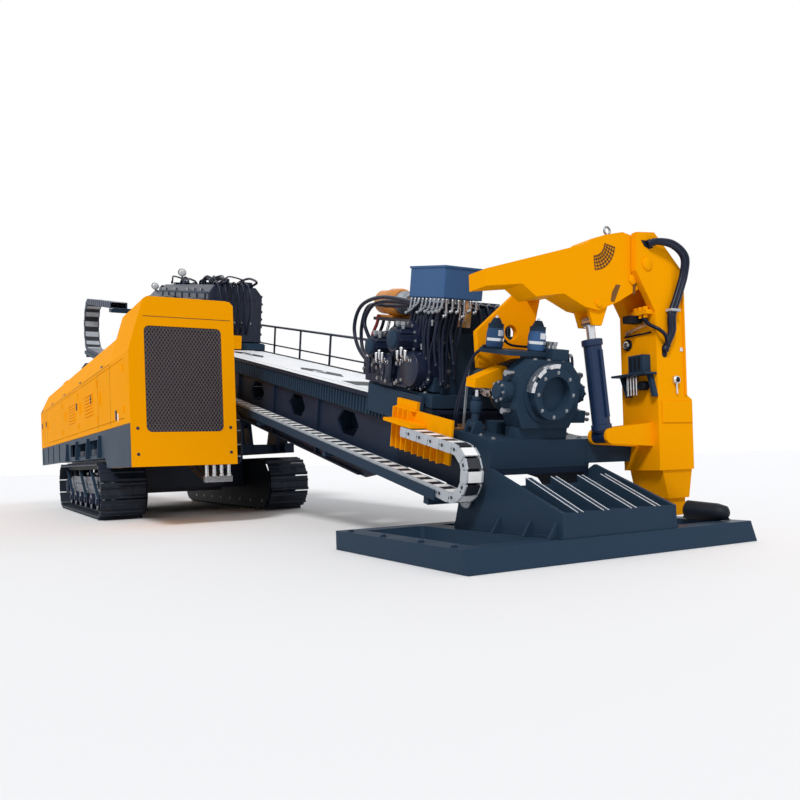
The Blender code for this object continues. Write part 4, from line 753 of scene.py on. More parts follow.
def carrier(name, chain, pitch, light, bar_look):
    """An energy chain: overlapping side links with pins, dark rims and crossbars, and the lines inside."""
    v0, v1 = chain["v"]
    forward = 1 if chain["turn"] > chain["start"] else -1
    depth = chain["depth"]
    radius = (chain["top"] - chain["low"] - depth) / 2
    middle = (chain["top"] + chain["low"]) / 2
    centre = chain["turn"] - forward * (radius + depth / 2)
    upper, lower, bend = abs(centre - chain["start"]), abs(centre - chain["end"]), pi * radius
    total = upper + bend + lower
    count = round(total / pitch)

    def at(distance):
        """The chain's middle, its direction outwards and its way on."""
        if distance < upper:
            u = chain["start"] + forward * distance
            return Vector((u, 0, middle + radius)), Vector((0, 0, 1)), Vector((forward, 0, 0))
        if distance < upper + bend:
            angle = (distance - upper) / radius
            out = Vector((forward * sin(angle), 0, cos(angle)))
            along = Vector((forward * cos(angle), 0, -sin(angle)))
            return Vector((centre, 0, middle)) + out * radius, out, along
        u = centre - forward * (distance - upper - bend)
        return Vector((u, 0, middle - radius)), Vector((0, 0, -1)), Vector((-forward, 0, 0))

    looks = (("links", light), ("bars", bar_look), ("rims", "chain_dark"), ("lines", "hose"))
    links, bars, rims, lines = (
        Builder(f"{name}_carrier_{part}", f"{name}_carriage", look) for part, look in looks)
    half, long = depth / 2 - 0.009, total / count
    end, reach = long * 0.56, long * 0.47
    link = [(-end, -half * 0.62), (-end * 0.8, -half), (end * 0.8, -half), (end, -half * 0.62),
            (end, half * 0.62), (end * 0.8, half), (-end * 0.8, half), (-end, half * 0.62)]
    for i in range(count):
        point, out, along = at((i + 0.5) * total / count)
        place = standing(along, out, point)
        inset = 0.006 if i % 2 else 0.0
        for side, sign in ((v0, 1), (v1, -1)):
            links.slab(place, link, span(sign, inset, inset + 0.018, side))
            rims.slab(place, [(a * 0.3, b * 0.3) for a, b in link], span(sign, 0.004, 0.03, side))
            pin = (place @ Vector((end * 0.86, side + sign * deep, 0)) for deep in (0.001, 0.03))
            rims.cylinder(*pin, half * 0.24, 10)
        for b in (-half, half - 0.012):
            bar = [(-reach, b), (reach, b), (reach, b + 0.012), (-reach, b + 0.012)]
            (rims if i % 2 else bars).slab(place, bar, (v0 + 0.02, v1 - 0.02))
    links.make(replaced=(f"{name}_chain",))
    rims.make()
    bars.make()
    for k in range(3):
        v = Vector((0, v0 + (v1 - v0) * (k + 1) / 4, 0))
        spots = [at(total * j / 60) for j in range(1, 60)]
        lines.rings([round_ring(p + v, out, Vector((0, 1, 0)), 0.018, 8) for p, out, _ in spots])
    lines.make()


# Vises

DRILL_W = 0.28  # the height of the drill string over the deck


def vise_trim():
    """The front vise's bolts, band, gripping jaws, side cylinders, valves, lines and accumulators."""
    dark, steel, band, plate, domes, caps, lines = builders(
        "mast", vise_trim="slate", vise_steel="dull_steel", vise_band="bright_steel", bed_plate="seam",
        accumulator_domes="blue", accumulator_caps="bright_steel", vise_lines="hose")
    steel.bolt_circle((8.3402, 0, DRILL_W), (1, 0, 0), 0.19, 8, 0.011)
    for i in range(9):
        a, b = (radians(78 + 11 * i + step) for step in (0, 10.6))
        corners = (polar(0.226, a), polar(0.262, a), polar(0.262, b), polar(0.226, b))
        band.prism("x", (8.262, 8.332 if i % 3 else 8.3), [(y, DRILL_W + z) for y, z in corners])
    band.make()
    dark.cone((8.25, 0, DRILL_W), (8.262, 0, DRILL_W), 0.265, 0.262, 40)
    for side in (-1, 1):
        dark.cylinder((8.12, side * 0.33, DRILL_W), (8.12, side * 0.45, DRILL_W), 0.095, 24, 0.012)
        dark.cylinder((8.12, side * 0.44, DRILL_W), (8.12, side * 0.475, DRILL_W), 0.065, 20, 0.008)
        steel.bolt_circle((8.12, side * 0.45, DRILL_W), (0, side, 0), 0.078, 8, 0.01)
        for w in (0.12, 0.44):
            steel.cylinder((8.16, side * 0.335, w), (8.16, side * 0.39, w), 0.022, 12, 0.004)
            steel.cylinder((8.16, side * 0.39, w), (8.16, side * 0.42, w), 0.028, 6)
    steel.bolt_grid((8.05, 8.2), (-0.15, 0.0, 0.15), (0.5602,), (0, 0, 1), 0.016, 0.014)
    dark.box((8.06, 8.22), (0.02, 0.2), (0.56, 0.66))
    for u in (8.09, 8.14, 8.19):
        steel.fitting((u, 0.06, 0.66), (u, 0.06, 0.72), 0.014, 0.02, 8)
        steel.turned((u, 0.2, 0.61), (u, 0.25, 0.61), [(0, 0.012), (0.5, 0.018), (1, 0.018)], 8)
    for y, z in circle(3, 1, tau / 12):
        out, across = Vector((0, y, z)), Vector((0, -z, y))
        centre = Vector((0, 0, DRILL_W)) + out * 0.135
        sides = ((-0.05, 0.018), (0.05, 0.018), (0.04, -0.012), (-0.04, -0.012))
        corners = [centre + across * s + out * r for s, r in sides]
        steel.rings([[c + Vector((u, 0, 0)) for c in corners] for u in (8.06, 8.24)])
    dark.box((8.1, 8.22), (0.2, 0.47), (0.02, 0.13))
    nipple = [(0, 0.012), (0.6, 0.012), (0.65, 0.018), (1, 0.018)]
    for w in (0.05, 0.1):
        steel.turned((8.2, 0.46, w), (8.2, 0.52, w), nipple, 8)
    steel.bolt_grid((7.45, 7.62, 7.98, 8.16), (-0.48, 0.48), (-0.1198,), (0, 0, 1), 0.018, 0.016)
    dark.make(bevel=0.005)
    steel.cylinder((7.58, -0.4, -0.1195), (7.58, -0.4, 0.42), 0.012, 10)
    steel.make()
    plate.box((7.41, 7.7), (-0.545, -0.2), (-0.1195, -0.108))
    plate.make(bevel=0.002, segments=1)
    dome = [(0, 0.05), (0.03, 0.074), (0.12, 0.078), (0.55, 0.078), (0.72, 0.07), (0.86, 0.052),
            (0.96, 0.028), (1, 0.02)]
    for u, v in ((7.78, -0.28), (8.06, -0.04)):
        domes.turned((u, v, 0.63), (u, v, 0.865), dome, 28)
        caps.turned((u, v, 0.86), (u, v, 0.91), [(0, 0.022), (0.4, 0.022), (0.45, 0.014), (1, 0.012)], 12)
        caps.cylinder((u, v, 0.69), (u, v, 0.715), 0.081, 28)
        caps.box((u + 0.072, u + 0.081), (v - 0.028, v + 0.028), (0.735, 0.785))
    domes.make(smooth=50)
    caps.make()
    for i in range(3):
        u = 8.09 + 0.05 * i
        lines.hose([(u, 0.21, 0.61), (u, 0.26, 0.6), (u, 0.28, 0.5 - 0.02 * i), (8.1, 0.285, 0.4),
                    (8.09, 0.28, 0.34)], 0.012)
    for radius, *route in (
        (0.011, (7.8, -0.2, 0.7), (7.82, -0.12, 0.66), (7.9, 0.02, 0.655), (8.04, 0.05, 0.66),
         (8.09, 0.06, 0.7)),
        (0.013, (7.72, -0.34, 0.64), (7.66, -0.42, 0.52), (7.64, -0.47, 0.3), (7.62, -0.5, 0.05),
         (7.6, -0.5, -0.1)),
        (0.013, (7.7, -0.3, 0.64), (7.62, -0.38, 0.54), (7.58, -0.45, 0.28), (7.57, -0.49, 0.05),
         (7.56, -0.49, -0.1)),
    ):
        lines.hose(route, radius)
    lines.make()


def rear_vise_trim():
    trim, steel = builders("rear_vise", rear_vise_ring="slate", rear_vise_bolts="dull_steel")
    trim.cone((7.712, 0, DRILL_W), (7.7198, 0, DRILL_W), 0.235, 0.24, 40)
    trim.collar((7.73, 0, DRILL_W), (7.95, 0, DRILL_W), 0.252, 0.262, 0.252, 48)
    steel.bolt_circle((7.7118, 0, DRILL_W), (-1, 0, 0), 0.205, 12, 0.013)
    trim.make(smooth=50)
    steel.make()


# Front carriage


def carriage_trim():
    """Valve blocks, pipes and fittings, gear housings, and the dark mass of hoses under the blue box."""
    dark, steel, hoses, slate, bright, elbows = builders(
        "front_carriage", carriage_blocks="black", carriage_fittings="dull_steel", carriage_hoses="hose",
        carriage_plates="slate", gear_housing_fittings="bright_steel", carriage_elbows="dull_steel")
    rng = random.Random(5)
    nipple = [(0, 0.022), (0.45, 0.022), (0.5, 0.03), (1, 0.03)]
    for u, w, radius in ((6.36, 0.52, 0.165), (6.82, 0.62, 0.19)):
        steel.bolt_circle((u, -0.6202, w), (0, -1, 0), radius * 0.84, 12, 0.012)
        nose = [(0, radius * 0.5), (0.6, radius * 0.46), (1, radius * 0.3)]
        slate.turned((u, -0.779, w), (u, -0.815, w), nose, 24)
        for i in range(10):
            fin = Matrix.Translation((u, -0.69, w)) @ Matrix.Rotation(tau * i / 10, 4, "Y")
            dark.box((radius * 0.6, radius * 0.7), (-0.075, 0.075), (-0.012, 0.012), fin)
        low = w + radius * 0.55
        for a in (u - 0.05, u + 0.05):
            steel.turned((a, -0.7, low), (a, -0.7, low + 0.07), nipple, 8)
    dark.box((6.9, 7.18), (-0.56, -0.345), (0.3, 0.62))
    dark.box((6.95, 7.14), (-0.58, -0.42), (0.66, 0.86))
    dark.box((6.1, 6.32), (-0.5, -0.425), (0.14, 0.36))
    slate.box((6.18, 7.18), (-0.5, -0.4205), (0.155, 0.3))
    for (u0, u1), (v0, v1), (w0, w1) in (
        ((5.98, 6.34), (-0.62, -0.43), (0.15, 0.4)), ((6.38, 6.66), (-0.66, -0.43), (0.15, 0.37)),
        ((6.04, 6.22), (-0.58, -0.43), (0.4, 0.6)), ((6.7, 6.9), (-0.64, -0.43), (0.16, 0.42)),
        ((6.98, 7.24), (-0.55, -0.36), (0.88, 1.0)), ((6.44, 6.6), (-0.6, -0.43), (0.37, 0.47)),
    ):
        dark.box((u0, u1), (v0, v1), (w0, w1))
        for k in range(5):
            u, w = rng.uniform(u0 + 0.02, u1 - 0.02), rng.uniform(w0 + 0.02, w1 - 0.02)
            steel.fitting((u, v0, w), (u, v0 - 0.045, w), 0.015, 0.022)
        for k in range(2):
            u = rng.uniform(u0 + 0.03, u1 - 0.03)
            hoses.hose([(u, v0 + 0.04, w1), (u, v0 + 0.03, w1 + 0.06), (u + 0.06, v0 - 0.02, w1 + 0.05),
                        (u + 0.1, v0 - 0.04, w1 - 0.06), (u + 0.09, v0 - 0.035, w1 - 0.16)],
                       0.014, sides=8, steps=6)
    slate.box((6.42, 7.02), (-0.3, 0.3), (1.0004, 1.028))
    for k in range(26):
        u = rng.uniform(6.86, 7.24)
        v = rng.uniform(-0.6, -0.36)
        w = rng.uniform(0.3, 0.95)
        if rng.random() < 0.5:
            steel.fitting((u, v, w), (u, v - 0.05, w), 0.013, 0.019)
        else:
            steel.fitting((u, v, w), (u, v, w + 0.055), 0.012, 0.018)
    for row, v in enumerate((-0.57, -0.5, -0.43, -0.36)):
        for i in range(9):
            u = 6.8 + 0.062 * i + 0.015 * row
            low_u = u + rng.uniform(-0.05, 0.06)
            low_w = rng.uniform(0.1, 0.45)
            sway = rng.uniform(-0.03, 0.03)
            steel.fitting((u, v, 0.985), (u, v, 1.029), 0.019, 0.014, 8)
            hoses.hose([(u, v, 0.99), (u + 0.005, v, 0.9), (u + sway, v - 0.015, 0.72),
                        (low_u, v - 0.01, (low_w + 0.72) / 2), (low_u - sway, v + 0.01, low_w)],
                       rng.choice((0.012, 0.015, 0.018)), sides=8, steps=6)
    for i, (back, low, v) in enumerate(((5.42, 0.46, -0.5), (5.55, 0.58, -0.44), (5.36, 0.36, -0.38))):
        hoses.hose([(6.86, v, 0.94 - 0.03 * i), (6.55, v - 0.02, 1.0 - 0.03 * i),
                    (6.0, v - 0.02, 1.02 - 0.04 * i), (back + 0.12, v, 0.92),
                    (back, v - 0.01, (0.92 + low) / 2), (back + 0.16, v - 0.02, low),
                    (5.95, v - 0.04, low - 0.14), (6.22, v - 0.05, 0.4)], 0.021, sides=12, steps=10)
    for i in range(5):
        v = -0.1 + 0.1 * i
        hoses.hose([(7.1, v, 0.99), (7.22, v, 0.97), (7.28, v + 0.01, 0.8), (7.26, v + 0.02, 0.6),
                    (7.21, v, 0.45)], 0.016)
        steel.cylinder((7.06, v, 0.97), (7.12, v, 1.0), 0.022, 8)
    for i in range(4):
        u, v = 6.3 + 0.2 * i, 0.44 + 0.03 * (i % 2)
        hoses.hose([(u, v, 0.9), (u + 0.02, v + 0.05, 0.75), (u - 0.02, v + 0.06, 0.45),
                    (u + 0.06, v + 0.03, 0.2)], 0.018)
    for u, w, radius in ((6.54, 0.315, 0.165), (6.98, 0.355, 0.2)):
        housing = [(0, 1), (0.45, 1), (0.5, 0.86), (0.9, 0.84), (1, 0.6)]
        dark.turned((u, -0.42, w), (u, -0.7, w), [(part, radius * size) for part, size in housing], 32)
        bright.bolt_circle((u, -0.546, w), (0, -1, 0), radius * 0.92, 14, 0.012)
        for i in range(3):
            a, b = polar(radius * 0.55, 0.9 + 0.75 * i)
            bright.hose([(u + a, -0.69, w + b), (u + a, -0.745, w + b), (u + a + 0.01, -0.765, w + b + 0.03),
                         (u + a + 0.01, -0.765, w + b + 0.09)], 0.013, sides=8, steps=3)
    bright.box((7.24, 7.262), (-0.34, -0.2), (0.78, 1.028))
    bright.cone((7.262, -0.27, 0.86), (7.3, -0.27, 0.86), 0.045, 0.04, 16)

    def elbow(top, knee, low, tip, drop):
        """A bent pipe under the manifold, with its nut."""
        route = [(*top, 1.02), (*knee, 0.98 - drop), (*low, 0.95 - drop), (*tip, 0.94 - drop)]
        elbows.hose(route, 0.012, sides=8, steps=3)
        elbows.bolt((*knee, 0.985 - drop), (0, 0, -1), 0.019, 0.018)

    for i in range(9):
        u = 6.8 + 0.07 * i
        elbow((u, -0.585), (u, -0.6), (u - 0.01, -0.62), (u - 0.03, -0.625), rng.uniform(0.0, 0.07))
    for i in range(6):
        v = -0.55 + 0.065 * i
        elbow((7.36, v), (7.37, v), (7.375, v - 0.01), (7.37, v - 0.03), rng.uniform(0.0, 0.08))
    elbows.make(smooth=50)
    bright.make(smooth=50)
    steel.bolt_grid((6.2, 6.5, 6.8, 7.1), (-0.54, 0.54), (0.1402,), (0, 0, 1), 0.018, 0.016)
    steel.bolt_grid((7.2002,), (-0.36, 0.36), (0.22, 0.36, 0.5, 0.64), (1, 0, 0), 0.016, 0.014)
    for part in (dark, slate):
        part.make(bevel=0.006)
    steel.make()
    hoses.make(smooth=60)


def far_motors():
    """The ochre motors on the carriage's far side, their bracket and hoses, and the power box's rim."""
    made, steel, bracket, rim = builders(
        "front_carriage", far_motors="copper", far_motor_rings="dull_steel", far_motor_bracket="black",
        power_box_rim="blue")
    motor = [(0, 0.1), (0.05, 0.13), (0.5, 0.13), (0.56, 0.15), (0.94, 0.15), (1, 0.135)]
    for v, w in ((-0.2, 0.985), (0.1, 0.96)):
        made.turned((5.49, v, w), (5.96, v, w), motor, 24)
        steel.turned((5.96, v, w), (6.14, v, w), [(0, 0.125), (0.35, 0.125), (0.45, 0.095), (1, 0.09)], 24)
        steel.cone((5.455, v, w), (5.49, v, w), 0.07, 0.085, 20)
    made.box((5.56, 5.9), (-0.3, 0.2), (0.815, 0.845))
    made.make(bevel=0.004, segments=1)
    steel.make()
    bracket.box((5.5, 6.6), (-0.32, 0.24), (0.78, 0.816))
    bracket.prism("y", (-0.02, 0.02), [(6.0, 0.6), (6.45, 0.6), (6.45, 0.79), (5.6, 0.79)])
    bracket.make(bevel=0.006)
    red, hoses, pipes = (Builder(f"far_motor_{part}", "front_carriage", look) for part, look in (
        ("red_hose", "red"), ("hoses", "hose"), ("pipes", "bright_steel")))
    for i, (v, target) in enumerate(zip((-0.3, -0.23, -0.16, -0.08, 0.0), (red, hoses, pipes, hoses, red))):
        target.hose([(5.6, v, 0.83), (5.56 + 0.01 * i, v, 0.74), (5.5 + 0.03 * i, v - 0.02, 0.56),
                     (5.62 + 0.02 * i, v, 0.34), (5.98, v, 0.22)], 0.019)
    for target in (red, hoses, pipes):
        target.make(smooth=60)
    rim.box((6.752, 7.388), (-0.608, -0.162), (1.3, 1.32))
    rim.box((6.753, 6.76), (-0.52, -0.25), (1.08, 1.27))
    rim.make(bevel=0.005)


def bracket_ribs():
    ribs = Builder("bracket_ribs", "front_carriage", "orange")
    for count, first, step, top in ((4, 6.83, 0.095, -0.02), (5, 7.24, 0.11, -0.285)):
        for i in range(count):
            u = first + step * i
            ribs.box((u, u + 0.016), (-0.735, -0.6695), (-0.42, top))
    ribs.box((6.81, 7.19), (-0.7, -0.6695), (-0.035, -0.015))
    ribs.make(bevel=0.004, segments=1)


def spindle_trim():
    ring = Builder("spindle_ring", "spindle", "dull_steel")
    ring.bolt_circle((7.3602, 0, DRILL_W), (1, 0, 0), 0.115, 8, 0.012)
    ring.cone((7.3598, 0, DRILL_W), (7.375, 0, DRILL_W), 0.075, 0.07, 32)
    ring.make()


# Rear carriage

PACK_TOP = 1.15  # the height of the power pack's lid over the deck


def rear_unit():
    """Frames, pipes, valves, hoses and lamps on the rear carriage's power pack, and its bracket and arm."""
    dark, steel, hoses, slate, lamps, glass, front, brace = builders(
        "rear_carriage", pack_blocks="black", pack_fittings="dull_steel", pack_hoses="hose",
        pack_frames="slate", work_lamps="black", work_lamp_glass="lamp_glass", pack_bracket="orange",
        chain_arm_trim="slate")
    rng = random.Random(11)
    for i in range(7):
        u = -4.3 + 0.56 * i
        for side in ((-0.475, -0.4605), (0.5505, 0.565)):
            slate.box((u, u + 0.05), side, (0.15, 1.0))
    for w in (0.16, 0.98):
        for side in ((-0.472, -0.4605), (0.5505, 0.562)):
            slate.box((-4.48, -0.72), side, (w, w + 0.04))
    for k in range(15):
        u = rng.uniform(-4.35, -1.0)
        v = rng.uniform(-0.28, 0.3)
        along = (u, u + rng.uniform(0.1, 0.28))
        dark.box(along, (v - 0.07, v + 0.07), (PACK_TOP, PACK_TOP + rng.uniform(0.04, 0.11)))
    for k in range(60):
        u = rng.uniform(-4.4, -0.8)
        v = rng.choice((-0.44, -0.38, 0.4, 0.46, rng.uniform(-0.3, 0.35)))
        base = PACK_TOP - 0.15 if abs(v) > 0.37 else PACK_TOP
        steel.fitting((u, v, base - 0.01), (u, v, base + 0.08), 0.016, 0.023)
    for k in range(18):
        u = rng.uniform(-4.2, -1.2)
        v = rng.uniform(-0.36, 0.36)
        far = u + rng.uniform(0.5, 1.2)
        crest = ((u + far) / 2, v + rng.uniform(-0.1, 0.1), PACK_TOP + 0.13 + 0.04 * rng.random())
        fall = (far - 0.05, v + rng.uniform(-0.08, 0.08), PACK_TOP + 0.09)
        hoses.hose([(u, v, PACK_TOP + 0.02), (u + 0.05, v, PACK_TOP + 0.1), crest, fall,
                    (min(far, -0.75), v, PACK_TOP + 0.02)],
                   rng.choice((0.014, 0.018, 0.022)), sides=8, steps=6)
    for i in range(6):
        v = -0.3 + 0.11 * i
        hoses.hose([(-0.95, v, PACK_TOP), (-0.8, v, PACK_TOP + 0.06), (-0.6, v, PACK_TOP - 0.02),
                    (-0.48, v + 0.01, PACK_TOP - 0.3), (-0.5, v, PACK_TOP - 0.6), (-0.62, v, 0.3)],
                   0.021)
    for i in range(5):
        w = 0.3 + 0.14 * i
        for row in ((-0.5, -0.53, -0.51, -0.54, -0.5), (0.59, 0.61, 0.59, 0.615, 0.59)):
            spots = zip((-4.3, -3.4, -2.5, -1.6, -0.85), row, (w, w + 0.03, w - 0.04, w + 0.02, w))
            hoses.hose(spots, 0.02, sides=8)
    dark.box((-0.72, -0.64), (-0.4, 0.44), (0.16, 0.9))
    for i in range(5):
        v = -0.3 + 0.15 * i
        steel.cap((-0.645, v, 0.5), (-0.6, v, 0.5), 0.03, 0.02, 10, shoulder=0.6)
    for part in (dark, slate):
        part.make(bevel=0.006, segments=1)
    steel.make()
    hoses.make(smooth=60)
    pane = [(0, 0.072), (0.6, 0.066), (1, 0.04)]
    for u, v, base, w in ((-5.55, -0.36, 0.95, 1.1), (-3.3, -0.3, 1.14, 1.39)):
        lamps.cylinder((u + 0.06, v + 0.04, base), (u - 0.01, v, w - 0.02), 0.017, 10)
        lamps.turned((u - 0.06, v, w + 0.012), (u + 0.06, v, w), [(0, 0.045), (0.3, 0.075), (1, 0.08)], 24)
        glass.turned((u + 0.0602, v, w), (u + 0.072, v, w - 0.001), pane, 24)
    lamps.make()
    glass.make(smooth=60)
    front.box((-0.7, -0.5), (-0.13, 0.12), (0.03, 0.27))
    front.make(bevel=0.012)
    rear_extension()
    brace.box((-4.84, -4.56), (-1.42, -0.5), (0.5402, 0.56))
    brace.box((-4.8, -4.6), (-0.6, -0.565), (0.1, 0.44))
    brace.make(bevel=0.005, segments=1)


def rear_extension():
    """The unit's rear part: a trailing bed with three stepped groups of tanks, valves and hoses."""
    bed, tanks, steel, hoses = builders(
        "rear_carriage", trail_bed="slate", trail_tanks="black", trail_fittings="dull_steel",
        trail_hoses="hose")
    rng = random.Random(23)
    for v in (-0.5, 0.44):
        bed.box((-7.62, -4.88), (v, v + 0.06), (0.022, 0.135))
    for u in (-7.6, -6.72, -5.72, -4.98):
        bed.box((u, u + 0.07), (-0.45, 0.45), (0.024, 0.133))
    for rear, ahead, top in ((-7.56, -6.74, 0.62), (-6.68, -5.76, 0.82), (-5.7, -4.56, 1.02)):
        section = [(-0.44, 0.13), (0.5, 0.13), (0.5, top - 0.14), (0.38, top), (-0.32, top),
                   (-0.44, top - 0.14)]
        tanks.prism("x", (rear, ahead), section)
        for i in range(4):
            u = rear + 0.1 + (ahead - rear - 0.24) * i / 3
            for side in ((-0.452, -0.4395), (0.4995, 0.512)):
                bed.box((u, u + 0.035), side, (0.15, top - 0.15))
        for k in range(16):
            u = rng.uniform(rear + 0.06, ahead - 0.06)
            v = rng.uniform(-0.28, 0.34)
            steel.fitting((u, v, top - 0.01), (u, v, top + 0.07), 0.016, 0.023)
        for k in range(4):
            u = rng.uniform(rear + 0.05, ahead - 0.35)
            v = rng.uniform(-0.24, 0.26)
            tanks.box((u, u + 0.26), (v - 0.06, v + 0.06), (top - 0.01, top + rng.uniform(0.04, 0.09)))
        for k in range(5):
            u, v = rng.uniform(rear + 0.05, rear + 0.2), rng.uniform(-0.3, 0.34)
            far = min(u + rng.uniform(0.5, 0.9), ahead - 0.04)
            crest = ((u + far) / 2, v + rng.uniform(-0.08, 0.08), top + 0.1)
            fall = (far - 0.05, v, top + 0.07)
            hoses.hose([(u, v, top), (u + 0.05, v, top + 0.07), crest, fall, (far, v, top)],
                       rng.choice((0.014, 0.018)), sides=8, steps=6)
        for i in range(4):
            w = 0.22 + (top - 0.45) * i / 3
            for v, bulge, sag in ((-0.47, -0.5, 0.03), (0.53, 0.55, -0.03)):
                middle = ((rear + ahead) / 2, bulge, w + sag)
                hoses.hose([(rear + 0.03, v, w), middle, (ahead + 0.02, v, w)], 0.018, sides=8)
    tanks.prism("x", (-4.58, -4.49), [(-0.4, 0.2), (0.48, 0.2), (0.48, 0.84), (-0.4, 0.84)])
    for part in (bed, tanks):
        part.make(bevel=0.008, segments=1)
    steel.make()
    hoses.make(smooth=60)


# Crane

COLUMN_X, COLUMN_Y = 8.3702, 1.5998  # the column's front face and its inner face


def crane_trim():
    """The column's plates, valve group, gauges, hoses and clip, and the ground pad beside it."""
    face, dark, steel, shade, cap, hoses, clip = builders(
        "mast", WORLD, column_plates="orange", column_valves="slate", column_steel="bright_steel",
        column_slots="shade", boom_pin_cap="orange", column_hoses="hose", hose_clips="chain_grey")
    x, y = COLUMN_X, COLUMN_Y
    face.box((x, x + 0.01), (1.645, 2.035), (1.05, 1.245))
    face.box((x - 0.3, x - 0.05), (2.0448, 2.0485), (0.75, 1.2))
    face.box((x, x + 0.016), (1.945, 1.965), (1.3, 2.3))
    dark.box((8.12, 8.3), (y - 0.1, y), (1.51, 1.67))
    dark.box((7.95, 8.37), (y - 0.15, y), (1.485, 1.505))
    dark.prism("y", (y - 0.05, y), [(7.96, 1.486), (8.0, 1.486), (8.08, 1.3), (8.03, 1.3)])
    dark.prism("y", (y - 0.05, y), [(8.29, 1.486), (8.33, 1.486), (8.38, 1.285), (8.34, 1.285)])
    shade.cylinder((8.25, y - 0.09, 1.39), (8.25, y - 0.01, 1.39), 0.042, 18, 0.006)
    stem = [(0, 0.009), (0.25, 0.009), (0.26, 0.012), (0.8, 0.012), (1, 0.009)]
    for i in range(4):
        a = 8.075 + 0.034 * i
        steel.turned((a, y - 0.06, 1.31), (a, y - 0.06, 1.49), stem, 10)
    for a in (8.14, 8.19, 8.24):
        shade.box((a, a + 0.028), (y - 0.103, y - 0.099), (1.53, 1.65))
    shade.cone((8.03, y, 1.79), (8.03, y - 0.012, 1.79), 0.055, 0.05, 24)
    steel.cap((8.03, y - 0.011, 1.79), (8.03, y - 0.03, 1.79), 0.034, 0.026, 20)
    steel.prism("y", (y - 0.03, y - 0.012), [(8.03, 1.875), (8.3, 1.935), (8.3, 1.965), (8.03, 1.905)])
    shade.box((8.0, 8.32), (y - 0.012, y), (1.86, 1.875))
    shade.box((8.13, 8.22), (1.44, 1.598), (1.965, 2.03))
    face.box((8.16, 8.34), (1.52, 1.598), (2.03, 2.07))
    for i in range(3):
        face.fitting((8.19 + 0.055 * i, 1.55, 2.0), (8.19 + 0.055 * i, 1.55, 2.1), 0.02, 0.026, 8)
    face.make(bevel=0.005)
    steel.cap((x, 1.827, 1.436), (x + 0.035, 1.827, 1.436), 0.04, 0.032)
    shade.cone((x + 0.0352, 1.827, 1.436), (x + 0.038, 1.827, 1.436), 0.026, 0.024, 20)
    steel.cylinder((x + 0.015, 1.835, 1.31), (x + 0.015, 1.83, 1.4), 0.008, 8)
    steel.box((x, x + 0.006), (1.9, 1.935), (1.7, 1.735))
    # the oval and the slot are flat dark patches on the column's face: painted shade standing in for
    # openings
    oval = [(1.7 + a, (1.72 if b > 0 else 1.67) + b) for a, b in circle(24, 0.032)]
    slot = [(1.45, 2.672), (1.52, 2.674), (1.6, 2.62), (1.55, 2.6), (1.49, 2.62)]
    for outline in (oval, slot):
        shade.prism("x", (x, x + 0.003), outline)
    cap.cap((x - 0.002, 1.52, 2.467), (x + 0.012, 1.52, 2.467), 0.06, 0.05, shoulder=0.6)
    cap.make()
    shade.make()
    dark.make(bevel=0.004, segments=1)
    steel.make()
    for s in (0.0, 0.045):
        hoses.hose([(x + 0.005, 1.53, 2.645), (x + 0.05, 1.6, 2.67 - s * 0.3),
                    (x + 0.075, 1.78 - s * 0.4, 2.66 - s * 0.6), (x + 0.08, 1.93 - s, 2.56 - s * 0.4),
                    (x + 0.06, 1.94 - s, 2.4), (x + 0.045, 1.87 - s, 2.2), (x + 0.04, 1.79 - s, 2.02),
                    (x + 0.04, 1.78 - s * 0.8, 1.88), (x + 0.03, 1.72 - s * 0.2, 1.76),
                    (x + 0.004, 1.7, 1.7)], 0.024, sides=12)
    hoses.hose([(8.27, 1.56, 2.0), (8.34, 1.56, 1.93), (8.415, 1.59, 1.88), (8.43, 1.66, 1.82),
                (8.4, 1.7, 1.74), (x + 0.004, 1.7, 1.69)], 0.017)
    hoses.make(smooth=60)
    clip.box((x, x + 0.072), (1.73, 1.85), (2.05, 2.075))
    clip.make(bevel=0.006)
    foot = Builder("ground_pad", "anchor", "shade", WORLD)
    pad = [(0, 0.05), (0.06, 0.085), (0.75, 0.078), (0.95, 0.06), (1, 0.03)]
    foot.turned((8.46, 1.8, 0.262), (8.84, 1.9, 0.238), pad, 28)
    foot.make(smooth=50)


